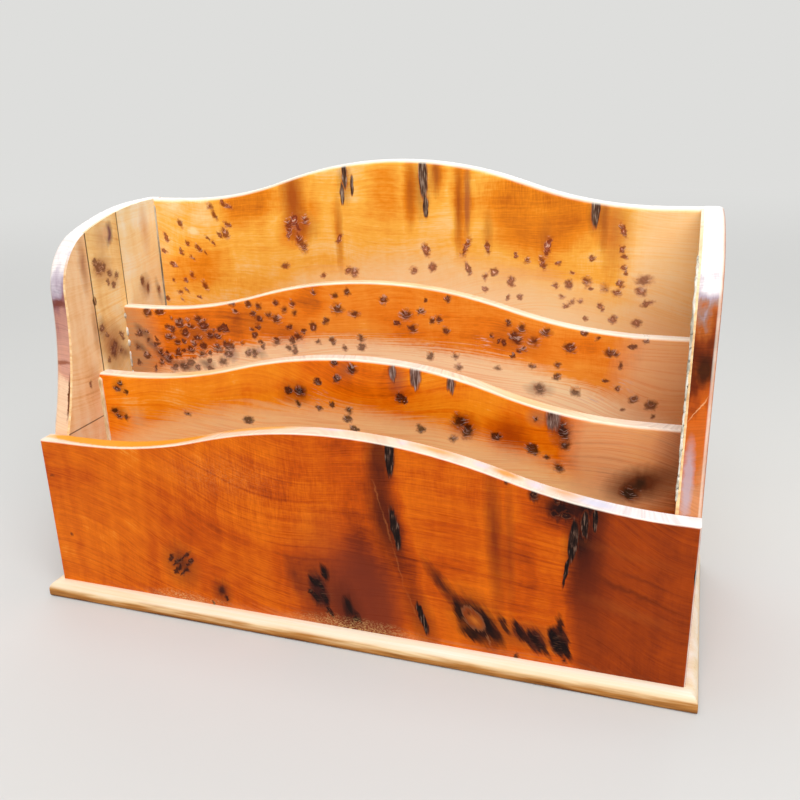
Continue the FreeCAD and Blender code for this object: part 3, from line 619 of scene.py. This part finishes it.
rear_burl = burl_wood(
    "varnished_dark_eyed_burl", BOARD_FACE, tones=["#5a240a", "#a64c0e", "#e4740c", "#f29632", "#f9c88e"],
    eye_tones=["#9c4610", "#4c1a0c", "#6e3222", "#e0b8a4"], bark_and_glint_tones=BARK_AND_GLINT_TONES, edge_axis="X",
    edge_tones=[(-132, "#fbeedd"), (-60, "#f9e4c6"), (20, "#f8d8a8"), (90, "#fbf0e0"), (132, "#fdf8f2")],
    eyes=rear_eyes, cracks=[(-20, 50, 0.8, 7, 0)], clouds=rear_clouds,
    fields=[(0, 55, 130, 40, 0, 0.6, 0.5), (-92, 110, 30, 17, 0, 0.5, 0.5),
            (-50, 118, 20, 14, 0, 0.3, 0.6), (64, 121, 26, 9, 0, 0.3, 0.6)], reflections_and_patches=rear_reflection_and_patches,
    drawn=rear_drawn, burr_glints=rear_burr_glints, level=0.62, veil=0.1, seed=53)
dress("rear_divider", rear_burl)


# The front divider: a burl board with flowing orange grain and a few black eye clusters, glued between the
# linings. The same pale film, a painted reflection, lies on its lower half, and glue has smeared near its
# left end.
divider_eyes = {
    (1.3, 1.2, 0): [
        (-120, 95), (-122, 92), (-117, 91), (-125, 81), (-123, 78), (-119, 78), (-85, 83), (-19, 104),
        (-11, 113), (-10, 106), (-19, 92), (-13, 94), (-5, 92), (-6, 88), (-3, 84), (-29, 93), (20, 99),
        (41, 84), (27, 87), (80, 80), (75, 96), (83, 96)],
    (1.7, 1.6, 0): [(-54, 83), (-33, 99), (-28, 99), (-3, 111), (18, 100), (59, 87), (85, 76), (87, 86)],
    (2.2, 2.2, 0): [(44, 92), (47, 88), (74, 83)],
    (2.4, 3.6, 0): [(86, 92)],
    (3.4, 2.8, 0): [(113, 68)],
}
divider_cracks = [
    (15, 111, 2.2, 5, 0, 0.8), (25, 110, 2.8, 7, 0, 0.8), (40, 108, 2.2, 5, 0, 0.7),
    (82, 97, 4.0, 7, 0, 0.6),
]
divider_clouds = [
    (-2, 106, 28, 14, 0, -0.18), (66, 88, 16, 14, 0, -0.3), (113, 70, 18, 12, 10, -0.4),
    (134, 88, 12, 60, 0, -0.24, 0.6), (-90, 90, 56, 26, 0, 0.14), (-31, 99, 12, 8, 0, -0.25),
    (17, 104, 10, 12, 0, -0.2), (46, 90, 8, 7, 0, -0.3), (84, 94, 12, 12, 0, -0.22),
]
# The first film is a painted reflection low on the divider; the others are paler patches toward its ends.
divider_reflection_and_patches = [
    ("#fbd092", -12, 0, 171, 96, 0, 0.85, 0.08), ("#e8b07c", 112, 84, 28, 34, 0, 0.7, 0.35),
    ("#d8b488", -113, 78, 6.5, 5.5, 0, 0.6),
]
divider_drawn = [
    ("#96401a", 128, 84, 9, 30, -6, 0.4, 0.8), ("#5e2008", 117, 73, 17, 9, 22, 0.95, 0.7),
    ("#1a0a0a", 113, 69, 4.4, 4.6, 0, 0.95, 0.6), ("#140808", 117, 73, 3, 4, -20, 0.85, 0.7),
    ("#a83e06", 64, 89, 11, 9, 0, 0.75, 0.9), ("#6a3020", 85, 93, 6, 10, 10, 0.8, 0.9),
    ("#86604e", 76, 97, 6, 5, 0, 0.6), ("#8a3608", 46, 90, 8, 7, 0, 0.7),
    ("#84360c", -30, 98, 9, 7, 0, 0.75), ("#2c100a", -27, 99, 3.4, 3.6, 0, 0.8, 0.7),
    ("#8e5440", 17, 108, 5, 8, 0, 0.6), ("#8e4e34", -6, 110, 5, 5, 0, 0.6),
    ("#7c3e18", -121, 93, 5, 5, 0, 0.6), ("#6e3416", -123, 80, 6, 4, 0, 0.75),
]
divider_burr_glints = [
    (-19, 96, 6, 8, 0, 0.7, 0.8), (85, 92, 6, 9, 0, 0.6, 0.8), (-85, 83, 4, 4, 0, 0.7, 0.8),
    (46, 90, 5, 5, 0, 0.6, 0.8), (86, 76, 5, 4, 0, 0.7, 0.8),
]
divider_burl = burl_wood(
    "varnished_orange_burl", BOARD_FACE, tones=["#4a1604", "#a83e02", "#e66c02", "#f99218", "#fac274"],
    eye_tones=["#8a3606", "#260c06", "#3c1812", "#c8aca0"],
    bark_and_glint_tones=["#4e3228", "#6e4e42", "#8c7064", "#b89c90"], edge_axis="X",
    edge_tones=[(-132, "#fbf0e2"), (-80, "#f8d090"), (-20, "#fbeada"), (30, "#fbecda"), (70, "#f9daa6"),
                (132, "#fdf6f0")], eyes=divider_eyes, cracks=divider_cracks, clouds=divider_clouds,
    fields=[(0, 45, 120, 26, 0, 0.5, 0.5)], reflections_and_patches=divider_reflection_and_patches, drawn=divider_drawn, burr_glints=divider_burr_glints,
    level=0.62, lines=0.12, veil=0.06, seed=29)
dress("front_divider", divider_burl)


# The front panel: the lowest and widest board, lapped over the front edges of the sides.
# Its grain sweeps down from the left into a dark mahogany band, with bark cracks and a ring-shaped knot.
front_eyes = {
    (0.7, 1.7, -32): [
        (-71, 31), (-75, 27), (-71, 26), (-77, 22), (-74, 21), (-73, 29), (-77, 26), (-72, 23), (-79, 28),
        (-69, 28), (-75, 24)],
    (0.9, 1.1, 10): [(-53, 12), (-60, 8), (-12, 23), (-5, 15), (8, 13), (76, 8), (95, 10), (71, 84)],
    (1.2, 1.6, 10): [(81, 80), (89, 79), (89, 73), (93, 73)],
}
front_cracks = [
    (25, 89, 2.4, 11, 0), (26.5, 58, 2.2, 12, 10), (37, 19, 1.7, 9, 18), (96, 63, 2.0, 11, -4),
    (100, 70, 1.8, 7, 0), (103.4, 72, 1.3, 5, 0), (94, 50, 0.8, 9, -8), (139.6, 56, 0.5, 5, 0),
]
front_clouds = [
    (6, 12, 30, 56, 4, -0.22, 0.5), (13, 58, 13, 52, 8, -0.16, 0.6), (27, 58, 7, 40, 14, -0.3, 0.8),
    (140, 40, 47, 75, 0, -0.22, 0.12), (101, 48, 9, 42, 0, -0.16, 0.8), (95, 73, 16, 13, 0, -0.3, 0.8),
    (-120, 60, 50, 60, 0, 0.1), (-27, 68, 13, 8, 0, -0.14), (-66, 50, 24, 24, 0, -0.08),
    (-24, 30, 20, 16, -10, -0.12, 0.8), (82, 50, 16, 40, 0, -0.1, 0.8),
]
front_stains = [
    ("#8e360c", 130, 38, 36, 74, 0, 0.55, 0.15), ("#86341c", 2, 20, 26, 48, 10, 0.6, 0.8),
    ("#762d18", 12, 20, 20, 34, 8, 0.85, 0.5), ("#4a1708", 22, 62, 8, 26, 12, 0.85, 0.7),
    ("#461507", 21, 88, 8, 18, 3, 0.85, 0.7), ("#4a180b", 36, 20, 7, 22, 18, 0.8),
    ("#3c1106", 100, 62, 9, 26, 0, 0.9, 0.7), ("#3c1106", 95, 77, 16, 8, -8, 0.9, 0.7),
    ("#5c1e0a", 103, 45, 10, 40, 0, 0.55), ("#54200f", -8, 24, 12, 20, 12, 0.85),
    ("#4f1c0d", 5, 17, 8, 16, 12, 0.85), ("#6e2408", 66.5, 60, 4.5, 42, 4, 0.8, 0.9),
    ("#7a2c0a", 72.5, 55, 2.8, 34, 2, 0.55, 0.9), ("#62270f", -74, 25.5, 11, 14, 10, 0.8),
    ("#56200d", -55, 15, 6.5, 8, 0, 0.9),
]
front_smears = [
    ("#1c0a08", -5, 33, 2.2, 5.5, 12, 0.9, 0.6), ("#220c08", -9, 27, 4, 4.2, 0, 0.85, 0.7),
    ("#260e0a", -8, 20.5, 5.4, 5, 0, 0.85, 0.7), ("#260e0a", 5, 17.5, 3.4, 8, 12, 0.85, 0.7),
    ("#5a2010", -19, 29, 5, 12, 14, 0.7), ("#1c0908", 81, 80, 3, 4, 0, 0.9, 0.7),
    ("#160706", 91, 75, 7, 5, 0, 0.9, 0.7), ("#160706", 100, 77, 4, 4, 0, 0.9, 0.7),
    ("#180806", 99, 64, 4, 9, 6, 0.8, 0.8),
]
front_drawn = [
    ("#c8743c", 19.2, 72, 0.5, 8, 14, 0.25, 0.7), ("#c8743c", 23, 58.5, 0.5, 10, 15, 0.25, 0.7),
    ("#c06a34", 27.5, 41, 0.5, 11, 14, 0.25, 0.7), ("#b8602c", 33, 24, 0.5, 11, 22, 0.25, 0.7),
    ("#7a3008", -136.5, 61, 1.8, 0.9, 0, 0.8, 0.7), ("#5a2008", -131, 32, 1.2, 1.6, 60, 0.8, 0.7),
    ("#5c1f06", 117, 45, 24, 1.8, -19, 0.65), ("#64220a", 121, 50.5, 20, 1.3, -17, 0.5),
    ("#b0541a", 118, 36, 22, 3.4, -14, 0.35), ("#a84e16", 116, 60, 22, 3, -10, 0.3),
    ("#3a140a", -55, 16, 2.4, 3.4, 0, 0.85, 0.7), ("#47180a", -74, 27, 5.5, 6.5, 10, 0.7),
]
front_burrs = [
    ("#35120f", -8, 24, 5, 11, 14, 0.8, 0.5), ("#140706", -5.5, 33, 1.6, 4.6, 22, 0.95, 0.5),
    ("#140706", -10.5, 28, 1.5, 4, 40, 0.95, 0.5), ("#140706", -7.5, 26.5, 1.4, 4, 30, 0.9, 0.5),
    ("#1a0907", -10, 21, 1.7, 4.4, 44, 0.95, 0.5), ("#1a0907", -5.5, 20, 1.6, 4.4, 30, 0.95, 0.5),
    ("#1a0907", -3.5, 14.5, 1.5, 3.6, 30, 0.9, 0.5), ("#1a0907", 5, 19, 1.6, 5.4, 24, 0.9, 0.5),
    ("#220c08", 9, 14, 1.4, 4, 30, 0.85, 0.6),
]
knot_shadow = [
    ("#40150a", 45.5, 36, 3.6, 16, 36, 0.9, 0.8), ("#3a140a", 60, 22, 12, 20, 38, 0.8),
    ("#1f0a08", 60, 21.3, 7.8, 14.5, 38, 0.95, 0.5), ("#0f0505", 52.2, 25, 2.6, 9.5, 12, 0.9, 0.6),
    ("#0f0505", 57, 15.2, 6.4, 3.2, -26, 0.9, 0.6), ("#0f0505", 66.5, 18.5, 3, 10, 33, 0.9, 0.6),
    ("#5a2412", 80, 18.5, 16, 8, -10, 0.7, 0.8), ("#2a0e0c", 92.3, 18.6, 4.6, 8.6, 12, 0.93, 0.3),
    ("#35120f", 83.4, 17, 4.6, 6.8, 30, 0.9, 0.35), ("#4a1a10", 76.8, 20.4, 2.8, 4.4, 20, 0.85, 0.5),
    ("#2a0e08", 71, 21.5, 1.8, 6, 30, 0.9, 0.6), ("#1c0908", 76.5, 20.5, 1.8, 6, 28, 0.9, 0.5),
    ("#2a0e08", 79.5, 17.5, 1.4, 6, 32, 0.85, 0.6), ("#160706", 83, 17.5, 1.7, 7, 32, 0.9, 0.6),
    ("#220b08", 87, 13.5, 1.6, 6, 34, 0.85, 0.6), ("#0d0405", 91, 18.5, 2.6, 8, 24, 0.95, 0.5),
    ("#120606", 95, 15.5, 2.2, 7, 26, 0.95, 0.5), ("#120606", 92.6, 26, 1.8, 6, 8, 0.9, 0.6),
]
knot = [
    ("#8a5030", 58.4, 22.4, 3.9, 6.8, 40, 0.8, 0.15), ("#86380e", 58.4, 22.4, 3.3, 6.1, 40, 0.95, 0.25),
    ("#c86c20", 59.2, 21.4, 2.7, 4.8, 40, 0.85, 0.9), ("#5a2408", 56.8, 24.4, 1.2, 1.8, 30, 0.8, 0.8),
    ("#b06a40", 64.6, 13.8, 0.45, 5, 22, 0.4, 0.6),
]
front_dust = [(6, 8.5, 34, 5.5, 0, 0.85), (-74, 8.4, 24, 4, 0, 0.8), (-50, 72, 34, 12, 0, 0.14)]
# Tones along the front panel's top edge: the amber and peach ones are the wood, the white and lilac ones a
# painted highlight.
front_marks = [
    ("#f0a436", -46, -98, 4.8, 47, 0, 1, 0.2), ("#f2ac4c", -44.4, -36, 3.6, 25, 0, 0.9, 0.5),
    ("#e6dcee", -44.6, -1, 2.6, 7, 0, 0.7), ("#f4c8a0", -46, 15, 3.6, 13, 0, 0.7),
    ("#e0d6e4", -47, 29, 3, 3, 0, 0.7), ("#f2b070", -46.2, 42, 3.6, 13, 0, 0.9, 0.8),
    ("#dcd4ea", -46.8, 60, 3, 4.5, 0, 0.8), ("#f2a04a", -46.2, 69.5, 3.6, 7.5, 0, 0.9, 0.7),
    ("#e4dcee", -47, 81, 4, 4.5, 0, 0.8), ("#f2b488", -46, 91, 3.6, 8.5, 0, 0.85, 0.8),
    ("#d8dcf0", -47.5, 104, 4.5, 9, 0, 0.85, 0.7),
]
front_burl = burl_wood(
    "varnished_mahogany_burl", BOARD_FACE, tones=["#250902", "#7a2804", "#c04c00", "#e47006", "#f4a844"],
    eye_tones=["#6e2806", "#220a06", "#30120a", "#7a5038"],
    bark_and_glint_tones=["#120806", "#1a0d09", "#2e1a13", "#75594a"], edge_axis="X",
    edge_tones=[(-140, "#f6e0c8"), (-70, "#fbe0c4"), (90, "#fbe6d4"), (110, "#f8f2f2"), (140, "#fbf6f6")],
    eyes=front_eyes, cracks=front_cracks, clouds=front_clouds, reflections_and_patches=[("#f0b880", 0, 5, 150, 6, 0, 0.3)],
    dust=front_dust, smears=front_stains + front_smears, leaning=front_burrs + knot_shadow + knot,
    burr_glints=[(92, 18, 5, 9, 0, 0.6, 0.8), (83, 17, 5, 7, 0, 0.6, 0.8), (-7, 24, 6, 11, 0, 0.5, 0.8)],
    drawn=front_drawn, edge_marks=front_marks, silks=[(-38, 70, 60, 34, 0, 0.4, 0.8)], level=0.6,
    flames=0.16, falls=[(-150, -5, 40), (95, 140, 22)], sway=(14, 20), lines=0.1, seed=83)
dress("front_panel", front_burl)


# The panel pins: thin drawn steel pins, driven up through the base into the boards.
# Only their ground ends would show, flush with the underside.
def drawn_steel(name):
    """Drawn steel wire: a grey metal with fine lengthwise scratches that break its shine."""
    material, tree, place, _ = new_surface(name)
    scratches = streaks(tree, place, (0.2, 0.2, 4))
    shade = add(tree, "ValToRGB", {"Fac": scratches}, stops=even_stops(["#66666a", "#b4b4b8"]))
    rough = add(tree, "MapRange", {"Value": scratches}, onto=(0.25, 0.5))
    metal = add(tree, "BsdfPrincipled", {"Base Color": shade, "Metallic": 1.0, "Roughness": rough})
    add(tree, "OutputMaterial", {"Surface": metal})
    return material


dress("panel_pins", drawn_steel("drawn_steel"))


# The glue: beads of wood glue that were pressed out of the joints and left to harden in the corners.
# They are lumpy strings in the left corners and along the front of the right lining.
BEAD_SIDES = 8
BEAD_STEP = 0.9
LUMP = 2.6
CRUMB_LENGTHS = (2.5, 9.0)
CRUMB_GAPS = (1.5, 5.0)


def hardened_glue(name, tones):
    """Wood glue gone hard: chalky and pale, with grime in its hollows and a dull skin."""
    material, tree, place, _ = new_surface(name)
    grime = streaks(tree, place, (1.6, 1.6, 8), detail=3.0)
    spread = add(tree, "MapRange", {"Value": grime}, span=(0.3, 0.62))
    colour = add(tree, "ValToRGB", {"Fac": spread}, stops=even_stops(tones))
    pits = streaks(tree, place, (0.5, 0.5, 0.7))
    relief = add(tree, "Bump", {"Height": pits, "Strength": 0.5, "Distance": 0.2 * MILLIMETRE})
    dull = add(tree, "MapRange", {"Value": grime}, onto=(0.4, 0.75))
    skin = add(tree, "BsdfPrincipled",
               {"Base Color": colour, "Roughness": dull, "IOR": 1.47, "Specular IOR Level": 0.2,
                "Normal": relief})
    add(tree, "OutputMaterial", {"Surface": skin})
    return material


def glue_bead(name, spines, thickness, lumps, material):
    """Strings of glue, so many millimetres thick and more or less lumpy, on spines that stay at one x."""
    bead = bmesh.new()
    for spine in spines:
        rings = []
        for index, point in enumerate(spine):
            before = spine[max(index - 1, 0)]
            after = spine[min(index + 1, len(spine) - 1)]
            side = Vector((1.0, 0.0, 0.0))
            front = (after - before).normalized().cross(side)
            taper = 0.35 if index in (0, len(spine) - 1) else 1.0
            ring = []
            for step in range(BEAD_SIDES):
                angle = math.tau * step / BEAD_SIDES
                out = side * math.cos(angle) + front * math.sin(angle)
                lump = 0.9 + lumps * noise.noise(point / LUMP + out)
                ring.append(bead.verts.new((point + out * thickness / 2 * lump * taper) * MILLIMETRE))
            rings.append(ring)
        for lower, upper in zip(rings, rings[1:]):
            for step in range(BEAD_SIDES):
                later = (step + 1) % BEAD_SIDES
                bead.faces.new((lower[step], lower[later], upper[later], upper[step]))
        bead.faces.new(rings[0][::-1])
        bead.faces.new(rings[-1])
    bmesh.ops.recalc_face_normals(bead, faces=bead.faces)
    mesh = bpy.data.meshes.new(name)
    bead.to_mesh(mesh)
    bead.free()
    mesh.shade_smooth()
    mesh.materials.append(material)
    piece = bpy.data.objects.new(name, mesh)
    bpy.context.scene.collection.objects.link(piece)
    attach(piece, "root")


def upright_spine(x, y, bottom, top):
    """Points up a corner of a pocket, a bead's step apart."""
    count = max(2, round((top - bottom) / BEAD_STEP))
    return [Vector((x, y, bottom + (top - bottom) * index / count)) for index in range(count + 1)]


def crumbs_up(x, y, bottom, top, seed):
    """Short lengths of bead with gaps between them, where most of the glue has flaked away."""
    draw = random.Random(seed)
    spines = []
    while bottom < top:
        length = draw.uniform(*CRUMB_LENGTHS)
        spines.append(upright_spine(x, y, bottom, min(bottom + length, top)))
        bottom += length + draw.uniform(*CRUMB_GAPS)
    return spines


grey_glue = hardened_glue("hardened_grey_glue", ["#948c7a", "#ccc4b2", "#ece6da"])
# The back corner's bead is darker, painted shade of the narrow corner over the glue's own grey.
shade_darkened_glue = hardened_glue("hardened_dull_glue", ["#5e5242", "#8a7e6a", "#c4bba8"])
cream_glue = hardened_glue("hardened_cream_glue", ["#b48c58", "#e0c898", "#f4e4c4"])
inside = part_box("left_rear_lining")[1][0] / MILLIMETRE
back_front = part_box("back_panel")[0][1] / MILLIMETRE
rear_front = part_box("rear_divider")[0][1] / MILLIMETRE
divider_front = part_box("front_divider")[0][1] / MILLIMETRE
glue_bead("back_corner_glue", [upright_spine(inside, back_front, base_height, top=169)], thickness=1.3,
          lumps=0.12, material=shade_darkened_glue)
glue_bead("rear_divider_glue", crumbs_up(inside, rear_front, base_height, top=122, seed=7), thickness=1.8,
          lumps=0.8, material=grey_glue)
glue_bead("front_divider_glue", [upright_spine(inside, divider_front, base_height, top=97)],
          thickness=2.8, lumps=0.15, material=cream_glue)

# The right lining's front arris, read from its solid, carries a crumbly line of glue all the way down.
right_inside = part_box("right_front_lining")[0][0]
front_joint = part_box("right_front_lining")[1][1]
panel_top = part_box("front_panel")[1][2]
corners = [vertex.co for vertex in nodes["right_front_lining"].data.vertices]
arris = [co / MILLIMETRE for co in corners
         if abs(co.x - right_inside) < 1e-5 and co.z > 0.8 * panel_top and co.y < front_joint - 1e-4]
arris.sort(key=lambda co: co.z)
line = []
for low, high in zip(arris, arris[1:]):
    count = max(1, round((high - low).length / BEAD_STEP))
    line += [low.lerp(high, index / count) for index in range(count)]
glue_bead("right_lining_glue", [line], thickness=1.0, lumps=0.7, material=grey_glue)


# The table, the light and the camera: a plain pale surface, soft light from above, behind and in front,
# and the view that the object is drawn in.
FLOOR_RADIUS = 2.4
BOWL_RADIUS = 1.6
BOWL_STEPS = 12
BOWL_SIDES = 64
GLOW_STARTS = 350
GLOW_FULL = 1700
profile = [Vector((0.0, 0.0, 0.0)), Vector((FLOOR_RADIUS / 2, 0.0, 0.0))]
for step in range(BOWL_STEPS + 1):
    angle = math.pi / 2 * step / BOWL_STEPS
    profile.append(Vector((FLOOR_RADIUS + BOWL_RADIUS * math.sin(angle), 0.0,
                           BOWL_RADIUS * (1 - math.cos(angle)))))
profile.append(profile[-1] + Vector((0.0, 0.0, BOWL_RADIUS)))
bowl = bmesh.new()
points = [bowl.verts.new(point) for point in profile]
rim = [bowl.edges.new(pair) for pair in zip(points, points[1:])]
bmesh.ops.spin(bowl, geom=points + rim, cent=(0, 0, 0), axis=(0, 0, 1), angle=math.tau, steps=BOWL_SIDES,
               use_merge=True)
bmesh.ops.remove_doubles(bowl, verts=bowl.verts, dist=0.0001)
floor_mesh = bpy.data.meshes.new("floor")
bowl.to_mesh(floor_mesh)
bowl.free()
floor_mesh.shade_smooth()
floor = bpy.data.objects.new("floor", floor_mesh)
bpy.context.scene.collection.objects.link(floor)
paper_material, tree, paper_place, _ = new_surface("matt_pale_paper")
paper = add(tree, "BsdfDiffuse", {"Color": linear("#cfcfcd")})
glow = add(tree, "Emission", {"Color": linear("#dededc")})
distance = add(tree, "VectorMath", {0: paper_place}, operation="LENGTH")
far = add(tree, "MapRange", {"Value": distance.outputs["Value"]}, span=(GLOW_STARTS, GLOW_FULL),
          interpolation_type="SMOOTHSTEP")
ray = add(tree, "LightPath")
seen = add(tree, "Math", {0: ray.outputs["Is Camera Ray"], 1: ray.outputs["Is Glossy Ray"]},
           operation="MAXIMUM")
seen = add(tree, "Math", {0: seen, 1: ray.outputs["Is Transmission Ray"]}, operation="MAXIMUM")
share = add(tree, "Math", {0: far, 1: seen}, operation="MULTIPLY")
blend = add(tree, "MixShader", {0: share, 1: paper, 2: glow})
add(tree, "OutputMaterial", {"Surface": blend})
floor.data.materials.append(paper_material)

world = bpy.data.worlds.new("studio")
bpy.context.scene.world = world
world.use_nodes = True
world.node_tree.nodes.clear()
air = add(world.node_tree, "Background", {"Color": linear("#e6e6e6"), "Strength": 0.45})
add(world.node_tree, "OutputWorld", {"Surface": air})


def soft_light(name, position, target, size, power):
    """A soft box: a rectangular lamp that faces the target and doesn't show itself."""
    lamp = bpy.data.lights.new(name, "AREA")
    lamp.shape = "RECTANGLE"
    lamp.size, lamp.size_y = size
    lamp.energy = power
    holder = bpy.data.objects.new(name, lamp)
    holder.location = position
    holder.rotation_euler = (Vector(target) - Vector(position)).to_track_quat("-Z", "Y").to_euler()
    holder.visible_camera = False
    bpy.context.scene.collection.objects.link(holder)


soft_light("above", (0.0, 0.0, 1.5), (0.0, 0.0, 0.1), size=(1.4, 1.2), power=7)
soft_light("behind", (-0.5, 1.5, 0.85), (-0.05, 0.0, 0.1), size=(2.4, 1.0), power=12)
soft_light("front", (0.45, -1.0, 1.25), (0.0, 0.0, 0.1), size=(1.7, 1.1), power=27)

FOCAL_PIXELS = 870.4
IMAGE_PIXELS = 800
YAW, PITCH, ROLL = (math.radians(angle) for angle in (18.78, 19.78, 1.45))
CAMERA_PLACE = (0.1282, -0.34075, 0.2221)
forward = Vector((-math.sin(YAW) * math.cos(PITCH), math.cos(YAW) * math.cos(PITCH), -math.sin(PITCH)))
level_right = Vector((math.cos(YAW), math.sin(YAW), 0.0))
level_down = forward.cross(level_right)
right = level_right * math.cos(ROLL) + level_down * math.sin(ROLL)
down = level_down * math.cos(ROLL) - level_right * math.sin(ROLL)
lens = bpy.data.cameras.new("camera")
lens.sensor_width = 36.0
lens.lens = lens.sensor_width * FOCAL_PIXELS / IMAGE_PIXELS
lens.clip_start = 0.01
camera = bpy.data.objects.new("camera", lens)
turn = Matrix((right, -down, -forward)).transposed()
camera.matrix_world = Matrix.Translation(CAMERA_PLACE) @ turn.to_4x4()
bpy.context.scene.collection.objects.link(camera)
bpy.context.scene.camera = camera
bpy.context.scene.view_settings.view_transform = "Standard"
